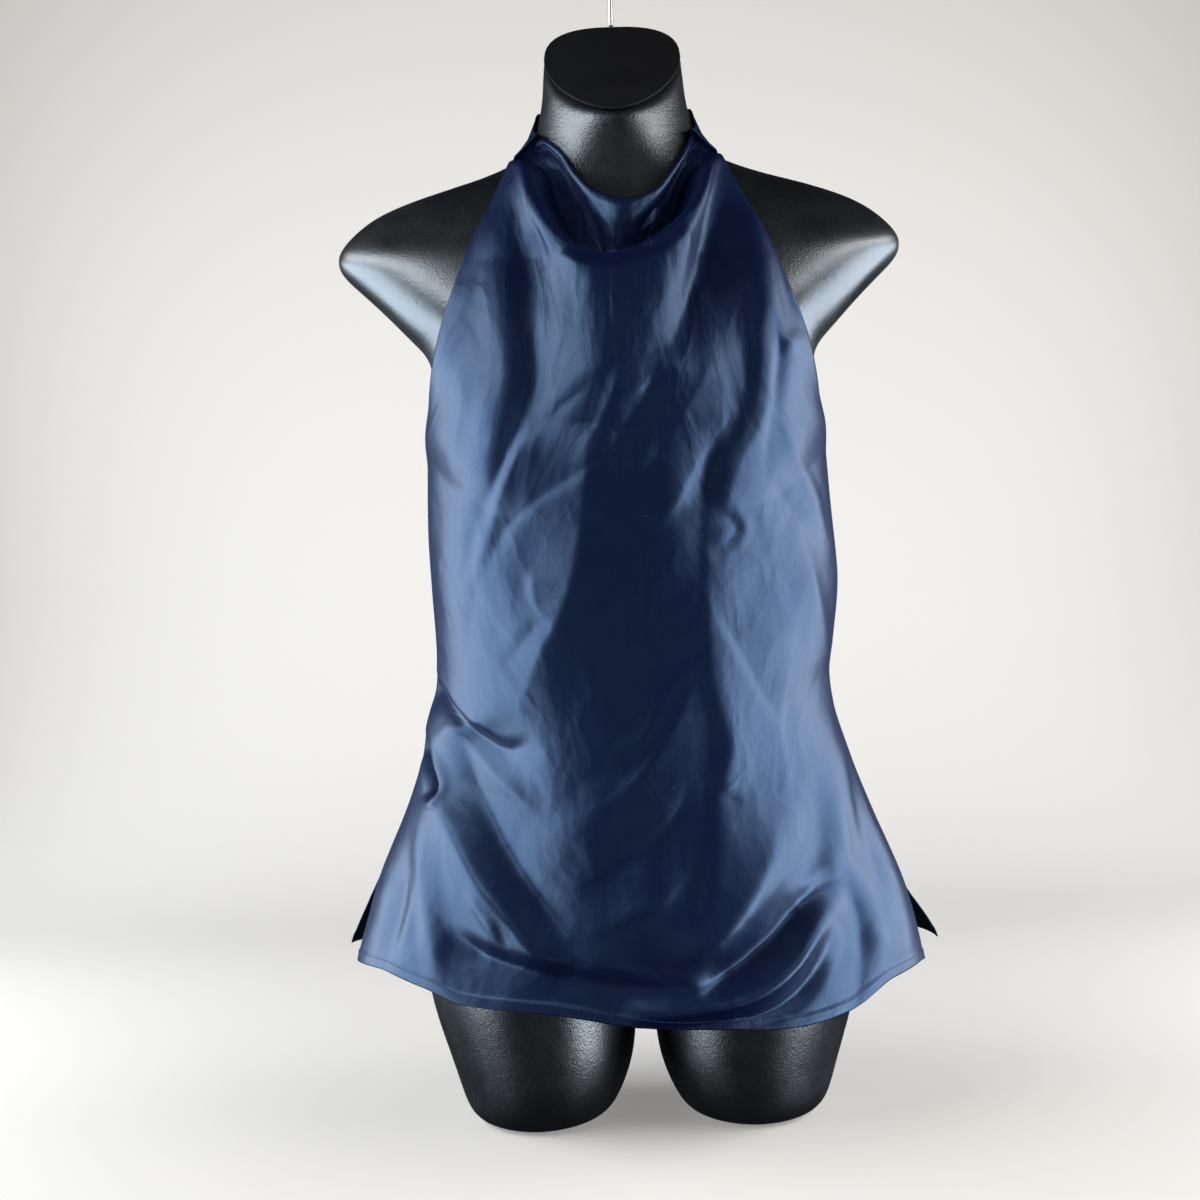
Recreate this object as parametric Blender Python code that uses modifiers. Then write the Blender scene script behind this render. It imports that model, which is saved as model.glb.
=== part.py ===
"""Halter neck top on a limbless torso form, in metres, +Z up, front towards -Y.

The origin is under the middle of the base. The form is lofted from tables of sections, each a superellipse
with its own front and back. Every piece of cloth is a grid laid over the form between its own edge curves,
kept clear of the form, and given its wall by Solidify.
"""

import math

import bmesh
import bpy
from mathutils import Matrix, Vector
from mathutils.bvhtree import BVHTree

# Driving dimensions
CLOTH = 0.0015  # wall of every piece of cloth
CLEARANCE = 0.0030  # least space between the form and the cloth
SEAM_GAP = 0.0006  # between two pieces at a seam, split over both
SEAM_LAP = 0.0021  # one wall and a gap, for a piece that starts behind another
FORM_HEIGHT = 0.838
FORM_GAP = 0.0003  # between the form's neck and its two halves
NECK_JOINT = 0.700
NECK_SLOPE = math.radians(44)  # the neck's cut slopes down to the front
NECK_BACK = 0.040  # how far the neck reaches behind the axis
NECK_FRONT = 0.058
CAP_THICKNESS = 0.0020
CAP_INSET = 0.0015
CAP_GAP = 0.0003
BUST_HEIGHT = 0.492
BUST_SPACING = 0.136
BUST_FULLNESS = 0.022
HOOK_WIRE = 0.0040
HOOK_RISE = 0.052
HOOK_RADIUS = 0.021
BUTTON_RADIUS = 0.0055
BUTTON_THICKNESS = 0.0025

# The torso's sections: height, half width, reach in front and behind, squareness in front and behind
TORSO = (
    (0.095, 0.1080, 0.066, 0.068, 2.3, 2.3),
    (0.106, 0.1440, 0.083, 0.086, 2.3, 2.3),
    (0.126, 0.1620, 0.091, 0.095, 2.3, 2.3),
    (0.160, 0.1715, 0.095, 0.100, 2.3, 2.3),
    (0.200, 0.1690, 0.096, 0.097, 2.3, 2.3),
    (0.250, 0.1520, 0.093, 0.083, 2.3, 2.3),
    (0.300, 0.1300, 0.087, 0.068, 2.2, 2.2),
    (0.335, 0.1215, 0.083, 0.061, 2.2, 2.2),
    (0.370, 0.1220, 0.084, 0.061, 2.2, 2.2),
    (0.410, 0.1285, 0.090, 0.066, 2.2, 2.3),
    (0.450, 0.1375, 0.098, 0.074, 2.2, 2.4),
    (0.490, 0.1440, 0.103, 0.080, 2.3, 2.5),
    (0.530, 0.1455, 0.102, 0.085, 2.4, 2.5),
    (0.558, 0.1440, 0.098, 0.088, 2.5, 2.6),
    (0.572, 0.1470, 0.093, 0.088, 2.8, 2.8),
    (0.588, 0.1610, 0.087, 0.085, 3.2, 3.2),
    (0.610, 0.1815, 0.080, 0.080, 3.4, 3.4),
    (0.630, 0.2020, 0.074, 0.074, 3.2, 3.2),
    (0.642, 0.2135, 0.070, 0.070, 3.0, 3.0),
    (0.650, 0.2140, 0.067, 0.068, 2.8, 2.8),
    (0.662, 0.2065, 0.062, 0.064, 2.6, 2.6),
    (0.6780, 0.1880, 0.056, 0.058, 2.4, 2.4),
    (0.6900, 0.1620, 0.052, 0.053, 2.2, 2.3),
    (0.7010, 0.1230, 0.050, 0.048, 2.1, 2.3),
    (0.709, 0.0980, 0.051, 0.046, 2.0, 2.3),
    (0.719, 0.0760, 0.053, 0.043, 1.9, 2.4),
    (0.735, 0.0640, 0.056, 0.041, 1.8, 2.5),
    (0.752, 0.0570, 0.058, 0.040, 1.75, 2.6),
    (0.772, 0.0535, NECK_FRONT, NECK_BACK, 1.75, 2.6),
    (0.860, 0.0535, NECK_FRONT, NECK_BACK, 1.75, 2.6),
)
TORSO_HEIGHTS = (
    0.095, 0.100, 0.106, 0.115, 0.126, 0.142, 0.160, 0.180, 0.200, 0.225, 0.250, 0.275,
    0.300, 0.325, 0.350, 0.380, 0.410, 0.435, 0.455, 0.475, 0.495, 0.515, 0.535, 0.550,
    0.560, 0.568, 0.577, 0.588, 0.601, 0.614, 0.626, 0.636, 0.643, 0.650, 0.658, 0.668,
    0.678, 0.686, 0.694, 0.701, 0.705, 0.710, 0.716, 0.724, 0.735, 0.750, 0.772, 0.860,
)
TORSO_SIDES = 40

# One thigh's sections: height, centre across, half width, reach in front, reach behind
THIGH = (
    (0.0000, 0.0800, 0.0440, 0.058, 0.046),
    (0.0035, 0.0798, 0.0520, 0.067, 0.055),
    (0.0135, 0.0795, 0.0590, 0.074, 0.063),
    (0.0260, 0.0782, 0.0640, 0.078, 0.068),
    (0.0500, 0.0782, 0.0715, 0.082, 0.073),
    (0.0880, 0.0840, 0.0780, 0.085, 0.079),
    (0.1200, 0.0850, 0.0810, 0.088, 0.087),
    (0.1550, 0.0830, 0.0800, 0.083, 0.085),
    (0.1900, 0.0800, 0.0600, 0.062, 0.062),
)
THIGH_HEIGHTS = (0.0, 0.0012, 0.0035, 0.0075, 0.0135, 0.026, 0.050, 0.088, 0.120, 0.155, 0.190)
THIGH_SIDES = 26

# The top's side line as worn: height, half width on the wearer's right, half width on their left
SIDE_WIDTH = (
    (0.090, 0.2215, 0.2185),
    (0.120, 0.2190, 0.2125),
    (0.160, 0.2055, 0.1990),
    (0.200, 0.1885, 0.1835),
    (0.240, 0.1710, 0.1685),
    (0.270, 0.1612, 0.1580),
    (0.300, 0.1562, 0.1495),
    (0.325, 0.1488, 0.1462),
    (0.350, 0.1470, 0.1503),
    (0.400, 0.1490, 0.1556),
    (0.440, 0.1503, 0.1530),
    (0.500, 0.1487, 0.1497),
)
# How far the cloth stands in front of and behind the axis: height, in front, behind
REACH = (
    (0.085, 0.150, 0.146),
    (0.150, 0.147, 0.136),
    (0.200, 0.143, 0.126),
    (0.250, 0.139, 0.113),
    (0.300, 0.136, 0.102),
    (0.350, 0.134, 0.095),
    (0.420, 0.133, 0.092),
    (0.490, 0.134, 0.094),
    (0.540, 0.130, 0.096),
    (0.580, 0.122, 0.096),
    (0.630, 0.108, 0.096),
)
# The armhole's edge from the underarm to the neck: height, half width, reach in front, spread of its arc
ARMHOLE = (
    (0.4930, 0.1490, 0.0006, 90.0),
    (0.5160, 0.1440, 0.0380, 84.0),
    (0.5450, 0.1385, 0.0650, 74.0),
    (0.5680, 0.1325, 0.0790, 66.0),
    (0.5950, 0.1235, 0.0850, 62.0),
    (0.6240, 0.1135, 0.0800, 62.0),
    (0.6520, 0.1030, 0.0690, 64.0),
    (0.6800, 0.0900, 0.0540, 66.0),
    (0.7125, 0.0770, 0.0380, 70.0),
)
UNDERARM = 0.493
NECK_POINT = ARMHOLE[-1][0]
# The neckline, where the collar is sewn on, from the wearer's right to their left: place across, height
NECKLINE = (
    (-1.00, 0.7125),
    (-0.80, 0.7040),
    (-0.58, 0.6710),
    (-0.32, 0.6375),
    (-0.08, 0.6272),
    (0.14, 0.6325),
    (0.50, 0.6605),
    (0.80, 0.7000),
    (1.00, 0.7125),
)
# The front's hem, from the wearer's right side seam to the left one: place across, height
FRONT_HEM = (
    (-1.00, 0.1228),
    (-0.70, 0.1275),
    (-0.51, 0.1200),
    (-0.40, 0.1110),
    (-0.20, 0.1068),
    (0.00, 0.0975),
    (0.17, 0.0930),
    (0.32, 0.0902),
    (0.47, 0.0955),
    (0.63, 0.1108),
    (0.80, 0.1142),
    (1.00, 0.1070),
)
BACK_HEM = (
    (-1.00, 0.1290),
    (-0.60, 0.1210),
    (-0.15, 0.1080),
    (0.30, 0.1060),
    (0.70, 0.1190),
    (1.00, 0.1180),
)
BACK_DIP = 0.468  # the back's top edge at the middle
VENT_TOP = (0.195, 0.170)  # on the wearer's right and left
VENT_SPREAD = 0.011
VENT_FLARE = (0.004, 0.0085)

# The largest folds of the front: from and to, as across and up, then half width and height out of the cloth
FRONT_FOLDS = (
    (-0.150, 0.330, -0.085, 0.296, 0.011, -0.0100),
    (-0.158, 0.318, -0.080, 0.255, 0.012, 0.0085),
    (-0.165, 0.272, -0.070, 0.200, 0.016, -0.0090),
    (-0.168, 0.255, -0.070, 0.125, 0.014, 0.0080),
    (-0.072, 0.625, -0.070, 0.430, 0.016, -0.0050),
    (-0.030, 0.620, -0.018, 0.450, 0.020, 0.0050),
    (0.022, 0.620, 0.030, 0.500, 0.016, 0.0045),
    (0.075, 0.640, 0.072, 0.400, 0.022, -0.0060),
    (0.062, 0.470, 0.070, 0.130, 0.020, 0.0060),
    (-0.020, 0.360, 0.030, 0.100, 0.030, -0.0050),
    (0.160, 0.230, 0.070, 0.110, 0.018, -0.0050),
    (-0.055, 0.420, -0.110, 0.345, 0.022, 0.0040),
)
BACK_FOLDS = (
    (-0.110, 0.470, -0.095, 0.250, 0.022, -0.0050),
    (-0.045, 0.440, -0.060, 0.110, 0.026, 0.0060),
    (0.020, 0.450, 0.030, 0.120, 0.024, -0.0050),
    (0.090, 0.460, 0.085, 0.110, 0.026, 0.0055),
    (-0.155, 0.300, -0.080, 0.240, 0.016, 0.0060),
)

# The collar from the neckline to its folded edge and down behind it: share of the way, how far it sinks in,
# how far it sags. It falls behind the neckline into a valley, which is deepest in the middle.
COLLAR_MIDDLE = (
    (0.00, 0.0000, 0.0000),
    (0.06, 0.0020, 0.0030),
    (0.15, 0.0080, 0.0090),
    (0.30, 0.0150, 0.0160),
    (0.45, 0.0165, 0.0145),
    (0.62, 0.0130, 0.0090),
    (0.80, 0.0060, 0.0030),
    (0.92, 0.0020, 0.0005),
    (1.00, 0.0002, 0.0000),
    (1.08, 0.0045, 0.0040),
    (1.30, 0.0095, 0.0290),
)
COLLAR_SIDES = (
    (0.00, 0.0000, 0.0000),
    (0.15, 0.0035, 0.0030),
    (0.30, 0.0065, 0.0040),
    (0.48, 0.0070, 0.0030),
    (0.65, 0.0050, 0.0015),
    (0.85, 0.0015, 0.0000),
    (1.00, 0.0000, 0.0000),
    (1.08, 0.0025, 0.0040),
    (1.30, 0.0015, 0.0120),
)
COLLAR_RETURN = 1.30
# The collar's folded edge, from one neck seam to the other: place across, x, reach in front, height
COLLAR_EDGE = (
    (-1.00, -0.0596, 0.0300, 0.7335),
    (-0.70, -0.0410, 0.0520, 0.7155),
    (-0.50, -0.0300, 0.0680, 0.6945),
    (-0.25, -0.0155, 0.0820, 0.6770),
    (0.10, 0.0060, 0.0900, 0.6690),
    (0.40, 0.0260, 0.0850, 0.6750),
    (0.65, 0.0410, 0.0700, 0.6935),
    (0.85, 0.0520, 0.0530, 0.7125),
    (1.00, 0.0596, 0.0300, 0.7335),
)
BAND_BACK_REACH = 0.050
BAND_FLARE = 0.010  # how much further back its lower edge stands
BAND_TOP_BACK = 0.764
BAND_TOP_SIDE = 0.757
BAND_LOW_BACK = 0.727
BAND_OVERLAP = math.radians(9)
BUTTON_HEIGHTS = (0.25, 0.75)


def table(rows, height):
    """The row of a table at a height, on a smooth curve through its rows."""
    last = len(rows) - 1
    height = min(max(height, rows[0][0]), rows[last][0])
    at = next(i for i in range(1, last + 1) if height <= rows[i][0]) - 1
    low, high = rows[at], rows[at + 1]
    span = high[0] - low[0]
    t = (height - low[0]) / span

    def slope(i, column):
        before, after = rows[max(i - 1, 0)], rows[min(i + 1, last)]
        left = (rows[i][column] - before[column]) / max(rows[i][0] - before[0], 1e-9)
        right = (after[column] - rows[i][column]) / max(after[0] - rows[i][0], 1e-9)
        if i in (0, last):
            return left + right
        return 0.0 if left * right <= 0 else 2 * left * right / (left + right)

    values = []
    for column in range(1, len(low)):
        rise = span * slope(at, column), span * slope(at + 1, column)
        values.append(
            (2 * t**3 - 3 * t**2 + 1) * low[column]
            + (t**3 - 2 * t**2 + t) * rise[0]
            + (3 * t**2 - 2 * t**3) * high[column]
            + (t**3 - t**2) * rise[1]
        )
    return values


def ease(t):
    """0 to 1 with level ends."""
    t = min(max(t, 0.0), 1.0)
    return t * t * (3 - 2 * t)


def power(value, exponent):
    return math.copysign(abs(value) ** exponent, value)


def collection(name, shown=True):
    made = bpy.data.collections.new(name)
    made.hide_render = not shown
    bpy.context.scene.collection.children.link(made)
    return made


def material(name, colour, roughness, metallic=0.0):
    made = bpy.data.materials.new(name)
    made.use_nodes = True
    shader = made.node_tree.nodes["Principled BSDF"]
    shader.inputs["Base Color"].default_value = (*colour, 1)
    shader.inputs["Roughness"].default_value = roughness
    shader.inputs["Metallic"].default_value = metallic
    return made


def new_object(name, mesh, finish, into):
    made = bpy.data.objects.new(name, mesh)
    if finish:
        mesh.materials.append(finish)
    into.objects.link(made)
    return made


def bust(x, z):
    """How far the bust stands out of the torso's section."""
    across = math.exp(-(((abs(x) - BUST_SPACING / 2) / 0.043) ** 2))
    return BUST_FULLNESS * across * math.exp(-(((z - BUST_HEIGHT) / 0.055) ** 2))


def torso_point(height, angle):
    half, front, back, square_front, square_back = table(TORSO, height)
    ahead = math.sin(angle) > 0
    square = square_front if ahead else square_back
    x = half * power(math.cos(angle), 2 / square)
    y = -(front if ahead else back) * power(abs(math.sin(angle)), 2 / square)
    if ahead:
        y -= bust(x, height) * math.sin(angle) ** 0.5
    else:
        y = -y
    return Vector((x, y, height))


def thigh_point(side):
    def point(height, angle):
        centre, half, front, back = table(THIGH, height)
        reach = front if math.sin(angle) > 0 else back
        return Vector((side * centre + half * math.cos(angle), -reach * math.sin(angle), height))

    return point


def loft(point, heights, sides):
    """A closed body through the rings that point(height, angle) gives."""
    mesh = bmesh.new()
    turns = [2 * math.pi * k / sides for k in range(sides)]
    rings = [[mesh.verts.new(point(height, turn)) for turn in turns] for height in heights]
    for lower, upper in zip(rings, rings[1:]):
        for k in range(sides):
            after = (k + 1) % sides
            mesh.faces.new((lower[k], lower[after], upper[after], upper[k]))
    mesh.faces.new(rings[0])
    mesh.faces.new(rings[-1])
    bmesh.ops.recalc_face_normals(mesh, faces=mesh.faces)
    return mesh


def to_mesh(mesh, name):
    made = bpy.data.meshes.new(name)
    mesh.to_mesh(made)
    mesh.free()
    return made


def neck_plane(drop=0.0):
    """A point and the upward normal of the neck's sloping cut, lowered along that normal."""
    normal = Vector((0, -math.sin(NECK_SLOPE), math.cos(NECK_SLOPE)))
    return Vector((0, NECK_BACK, FORM_HEIGHT)) - drop * normal, normal


def cut_above(mesh, point, normal):
    """Cuts off what is above a plane and closes the cut."""
    cells = mesh.verts[:] + mesh.edges[:] + mesh.faces[:]
    cut = bmesh.ops.bisect_plane(mesh, geom=cells, plane_co=point, plane_no=normal, clear_outer=True)
    edges = [part for part in cut["geom_cut"] if isinstance(part, bmesh.types.BMEdge)]
    bmesh.ops.contextual_create(mesh, geom=edges)


def helper(name, mesh, into):
    made = new_object(name, mesh, None, into)
    made.hide_render = True
    made.display_type = "WIRE"
    return made


def make_whole_form(helpers):
    """The torso with its two thighs, as the one shape that the form's pieces are parted from."""
    mesh = loft(torso_point, TORSO_HEIGHTS, TORSO_SIDES)
    cut_above(mesh, *neck_plane(CAP_THICKNESS + CAP_GAP))
    form = helper("whole_form", to_mesh(mesh, "whole_form"), helpers)
    for side, name in ((-1, "thigh_right"), (1, "thigh_left")):
        thigh = to_mesh(loft(thigh_point(side), THIGH_HEIGHTS, THIGH_SIDES), name)
        join = form.modifiers.new(name, "BOOLEAN")
        join.operation = "UNION"
        join.solver = "EXACT"
        join.object = helper(name, thigh, helpers)
    return form


def make_form(whole, graph, into, finish):
    """The form's neck and the right and left halves of its torso, each closed and a gap from the next."""
    up, left = Vector((0, 0, 1)), Vector((1, 0, 0))
    joint = up * NECK_JOINT
    below = (joint - up * FORM_GAP / 2, up)
    pieces = (
        ("form_neck", ((joint + up * FORM_GAP / 2, -up),)),
        ("torso_form_right", (below, (-left * FORM_GAP / 2, left))),
        ("torso_form_left", (below, (left * FORM_GAP / 2, -left))),
    )
    for name, cuts in pieces:
        mesh = bmesh.new()
        mesh.from_object(whole, graph)
        for point, normal in cuts:
            cut_above(mesh, point, normal)
        made = new_object(name, to_mesh(mesh, name), finish, into)
        made.data.shade_smooth()


def make_neck_cap(into, finish):
    """The plate that closes the neck, a little smaller than the cut that it lies on."""
    low, normal = neck_plane(CAP_THICKNESS)
    sides = TORSO_SIDES
    mesh = bmesh.new()
    ring = []
    for k in range(sides):
        point = torso_point(TORSO[-1][0], 2 * math.pi * k / sides)
        point.xy *= 1 - CAP_INSET / point.xy.length
        point.z = low.z - (point - low).xy.dot(normal.xy) / normal.z
        ring.append(mesh.verts.new(point))
    face = mesh.faces.new(ring)
    raised = bmesh.ops.extrude_face_region(mesh, geom=[face], use_keep_orig=True)["geom"]
    moved = [part for part in raised if isinstance(part, bmesh.types.BMVert)]
    bmesh.ops.translate(mesh, verts=moved, vec=normal * CAP_THICKNESS)
    bmesh.ops.recalc_face_normals(mesh, faces=mesh.faces)
    return new_object("neck_cap", to_mesh(mesh, "neck_cap"), finish, into)


def make_hook(into, finish):
    """A wire that stands on the back of the neck cap and turns over to the side."""
    foot = Vector((0, NECK_BACK - 0.007, FORM_HEIGHT - 0.0038))
    points = [foot, foot + Vector((0, 0, HOOK_RISE * 0.5)), foot + Vector((0, 0, HOOK_RISE))]
    turns = 14
    for k in range(1, turns + 1):
        angle = math.radians(235) * k / turns
        offset = Vector((HOOK_RADIUS * (1 - math.cos(angle)), 0, HOOK_RADIUS * math.sin(angle)))
        points.append(points[2] + offset)
    curve = bpy.data.curves.new("hook", "CURVE")
    curve.dimensions = "3D"
    curve.bevel_depth = HOOK_WIRE / 2
    curve.bevel_resolution = 2
    curve.use_fill_caps = True
    line = curve.splines.new("POLY")
    line.points.add(len(points) - 1)
    for spot, point in zip(line.points, points):
        spot.co = (*point, 1)
    return new_object("hanging_hook", curve, finish, into)


def clear_of(tree, point, clearance=CLEARANCE):
    """The point itself, or the nearest point that is that far outside the form."""
    near, normal, _, _ = tree.find_nearest(point)
    out = (point - near).dot(normal)
    if out >= clearance:
        return point
    return near + normal * clearance


def fold_height(folds, x, z):
    """How far the folds raise the cloth at a place, as seen from the front."""
    total = 0.0
    for x0, z0, x1, z1, half, height in folds:
        along = Vector((x1 - x0, z1 - z0))
        away = Vector((x - x0, z - z0))
        t = away.dot(along) / along.length_squared
        if not -0.25 < t < 1.25:
            continue
        across = (away - along * t).length / half
        ends = ease((t + 0.25) / 0.35) * ease((1.25 - t) / 0.35)
        total += height * ends * math.exp(-(across**2))
    return total


def make_sheet(name, place, columns, rows, finish, into, tree, flip=False):
    """A grid whose corner at (u, v) goes to place(u, v), with u from -1 to 1 and v from 0 to 1."""
    mesh = bmesh.new()
    bmesh.ops.create_grid(mesh, x_segments=columns, y_segments=rows, size=1)
    for vert in mesh.verts:
        spot = place(vert.co.x, (vert.co.y + 1) / 2)
        vert.co = clear_of(tree, spot) if tree else spot
    if flip:
        bmesh.ops.reverse_faces(mesh, faces=mesh.faces)
    sheet = new_object(name, to_mesh(mesh, name), finish, into)
    wall = sheet.modifiers.new("wall", "SOLIDIFY")
    wall.thickness = CLOTH
    wall.offset = 1.0
    wall.use_even_offset = False
    sheet.data.shade_smooth()
    return sheet


def side_half_width(height, u):
    right, left = table(SIDE_WIDTH, height)
    return right if u < 0 else left


def vent_share(height, u, foot):
    """0 along the closed side seam, growing to 1 at the foot of the vent."""
    top = VENT_TOP[0 if u < 0 else 1]
    return ease((top - height) / (top - foot))


def front_place(u, v):
    """The front, from the hem at v = 0 to the neckline at v = 1."""
    foot = table(FRONT_HEM, u)[0]
    corner = table(FRONT_HEM, math.copysign(1, u))[0]
    edge_z = corner + (NECK_POINT - corner) * v
    z = foot + (table(NECKLINE, u)[0] - foot) * v
    if edge_z < UNDERARM:
        half, edge_y, spread = side_half_width(edge_z, u), SEAM_GAP / 2, 90.0
        edge_y += VENT_SPREAD * vent_share(edge_z, u, corner)
    else:
        half, edge_y, spread = table(ARMHOLE, edge_z)
        blend = ease((edge_z - UNDERARM) / 0.04)
        half = half * blend + side_half_width(edge_z, u) * (1 - blend)
    reach = table(REACH, z)[0]
    arc = math.radians(spread)
    x = half * math.sin(u * arc) / math.sin(arc)
    y = -(edge_y + (reach - edge_y) * (math.cos(u * arc) - math.cos(arc)) / (1 - math.cos(arc)))
    out = Vector((x / half**2, y / reach**2, 0)).normalized()
    raised = fold_height(FRONT_FOLDS, x, z) * (1 - abs(u) ** 12) * ease((1 - v) / 0.06)
    return Vector((x, y, z)) + out * raised


def back_place(u, v):
    """The back, from the hem at v = 0 to its top edge at v = 1; it meets the front at the side seams."""
    foot = table(BACK_HEM, u)[0]
    corner = table(BACK_HEM, math.copysign(1, u))[0]
    edge_z = corner + (UNDERARM - corner) * v
    z = foot + (BACK_DIP + (UNDERARM - BACK_DIP) * abs(u) ** 2.2 - foot) * v
    vent = vent_share(edge_z, u, corner)
    half = side_half_width(edge_z, u) + VENT_FLARE[0 if u < 0 else 1] * vent
    edge_y = SEAM_GAP / 2 + VENT_SPREAD * vent
    reach = table(REACH, z)[1]
    x = half * math.sin(u * math.pi / 2)
    y = edge_y + (reach - edge_y) * math.cos(u * math.pi / 2)
    out = Vector((x / half**2, y / reach**2, 0)).normalized()
    return Vector((x, y, z)) + out * fold_height(BACK_FOLDS, x, z) * (1 - abs(u) ** 12)


def neckline_point(u):
    return front_place(u, 1.0)


def collar_edge(u):
    x, reach, z = table(COLLAR_EDGE, u)
    return Vector((x, -reach, z))


def collar_place(u, v):
    """The collar, from the neckline at v = 0 over its folded edge and a little way down inside."""
    share = v * COLLAR_RETURN
    low, high = neckline_point(u), collar_edge(u)
    middle, sides = table(COLLAR_MIDDLE, share), table(COLLAR_SIDES, share)
    towards = ease(abs(u) / 0.7)
    loose = 1 - abs(u) ** 5
    sink, sag = ((a + (b - a) * towards) * loose for a, b in zip(middle, sides))
    if share > 1:
        sink, sag = (a + (b - a) * towards for a, b in zip(middle, sides))
    spot = low.lerp(high, min(share, 1.0))
    inward = Vector((-spot.x, -spot.y, 0)).normalized()
    return spot + inward * (sink + SEAM_LAP) - Vector((0, 0, sag - SEAM_GAP))


def band_place(u, v, lap):
    """The neck band round the back, from its lower edge up, and from the right seam to the left one."""
    low_side, high_side = neckline_point(1.0), collar_edge(1.0)
    low_reach, high_reach = BAND_BACK_REACH + BAND_FLARE, BAND_BACK_REACH
    angle = u * math.pi / 2
    turn = math.cos(angle)
    low = Vector((low_side.x * math.sin(angle), low_side.y + (low_reach - low_side.y) * turn, 0))
    high = Vector((high_side.x * math.sin(angle), high_side.y + (high_reach - high_side.y) * turn, 0))
    low.z = low_side.z + (BAND_LOW_BACK - low_side.z) * turn**0.6
    rise = ease(turn / 0.35)
    high.z = high_side.z + (BAND_TOP_SIDE - high_side.z) * rise + (BAND_TOP_BACK - BAND_TOP_SIDE) * turn
    spot = low.lerp(high, v)
    outward = Vector((spot.x, max(spot.y, 0.0), 0)).normalized()
    return spot + outward * lap


def make_band(name, start, end, lap_from, finish, into, tree):
    """One half of the neck band; past lap_from it lies on the other half."""

    def place(u, v):
        at = start + (end - start) * (u + 1) / 2
        share = ease((lap_from - at) / 0.10 + 1.2) if lap_from is not None else 0.0
        return band_place(at, v, share * SEAM_LAP)

    return make_sheet(name, place, 14, 4, finish, into, tree, flip=start < end)


def make_button(name, at, into, finish):
    centre = band_place(0.0, at, SEAM_LAP + CLOTH + SEAM_GAP)
    mesh = bmesh.new()
    bmesh.ops.create_cone(
        mesh,
        cap_ends=True,
        segments=20,
        radius1=BUTTON_RADIUS,
        radius2=BUTTON_RADIUS * 0.8,
        depth=BUTTON_THICKNESS,
    )
    outward = Vector((0, BAND_TOP_BACK - BAND_LOW_BACK, BAND_FLARE)).normalized()
    turn = Vector((0, 0, 1)).rotation_difference(outward)
    middle = centre + outward * BUTTON_THICKNESS / 2
    spot = Matrix.Translation(middle) @ turn.to_matrix().to_4x4()
    bmesh.ops.transform(mesh, matrix=spot, verts=mesh.verts)
    return new_object(name, to_mesh(mesh, name), finish, into)


def main():
    for old in list(bpy.data.objects):
        bpy.data.objects.remove(old)
    parts = collection("halter_neck_top_on_form")
    helpers = collection("helpers", shown=False)
    satin = material("navy_satin", (0.020, 0.043, 0.125), 0.36)
    plastic = material("grained_black_plastic", (0.012, 0.012, 0.014), 0.42)
    cap_plastic = material("smooth_black_plastic", (0.010, 0.010, 0.011), 0.5)
    steel = material("hook_steel", (0.62, 0.60, 0.58), 0.25, 1.0)

    whole = make_whole_form(helpers)
    bpy.context.view_layer.update()
    graph = bpy.context.evaluated_depsgraph_get()
    tree = BVHTree.FromObject(whole, graph)
    make_form(whole, graph, parts, plastic)
    make_neck_cap(parts, cap_plastic)
    make_hook(parts, steel)

    make_sheet("front_panel", front_place, 38, 30, satin, parts, tree)
    make_sheet("back_panel", back_place, 24, 18, satin, parts, tree, flip=True)
    make_sheet("collar", collar_place, 26, 13, satin, parts, tree)
    lap = BAND_OVERLAP / (math.pi / 2)
    make_band("neck_band_right", -0.985, lap, None, satin, parts, tree)
    make_band("neck_band_left", 0.985, -lap, lap, satin, parts, tree)
    for name, at in zip(("button_lower", "button_upper"), BUTTON_HEIGHTS):
        make_button(name, at, parts, satin)


main()
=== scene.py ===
"""Looks of a navy satin halter neck top on a black torso form, in metres, +Z up, front towards -Y."""

import math

import bmesh
import bpy
import numpy as np
from mathutils import Matrix, Vector
from mathutils.bvhtree import BVHTree


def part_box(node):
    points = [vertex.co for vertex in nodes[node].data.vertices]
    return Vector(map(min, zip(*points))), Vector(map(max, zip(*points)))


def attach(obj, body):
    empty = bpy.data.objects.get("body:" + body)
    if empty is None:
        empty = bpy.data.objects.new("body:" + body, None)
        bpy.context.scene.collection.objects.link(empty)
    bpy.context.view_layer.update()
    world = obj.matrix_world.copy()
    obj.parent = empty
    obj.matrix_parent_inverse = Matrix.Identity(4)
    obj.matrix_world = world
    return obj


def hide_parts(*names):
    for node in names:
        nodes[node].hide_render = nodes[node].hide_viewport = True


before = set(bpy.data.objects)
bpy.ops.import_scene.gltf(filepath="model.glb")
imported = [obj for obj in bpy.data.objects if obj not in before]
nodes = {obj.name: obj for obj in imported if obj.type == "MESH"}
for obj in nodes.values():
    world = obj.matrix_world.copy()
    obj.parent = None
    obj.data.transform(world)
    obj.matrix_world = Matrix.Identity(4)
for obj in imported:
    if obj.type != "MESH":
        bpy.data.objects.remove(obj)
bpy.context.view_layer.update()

scene = bpy.context.scene

# ---------------------------------------------------------------- sizes

CAD_WALL = 0.0015  # the cloth's wall in the solid model
CLOTH = 0.0008  # the satin's own thickness
LIFT = CAD_WALL - CLOTH
CLEARANCE = 0.0025  # the least room between the cloth's inside and the form
SEAM_GAP = 0.0002
SEAM_LAP = 0.0021  # how far one layer stands out where it crosses another

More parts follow.
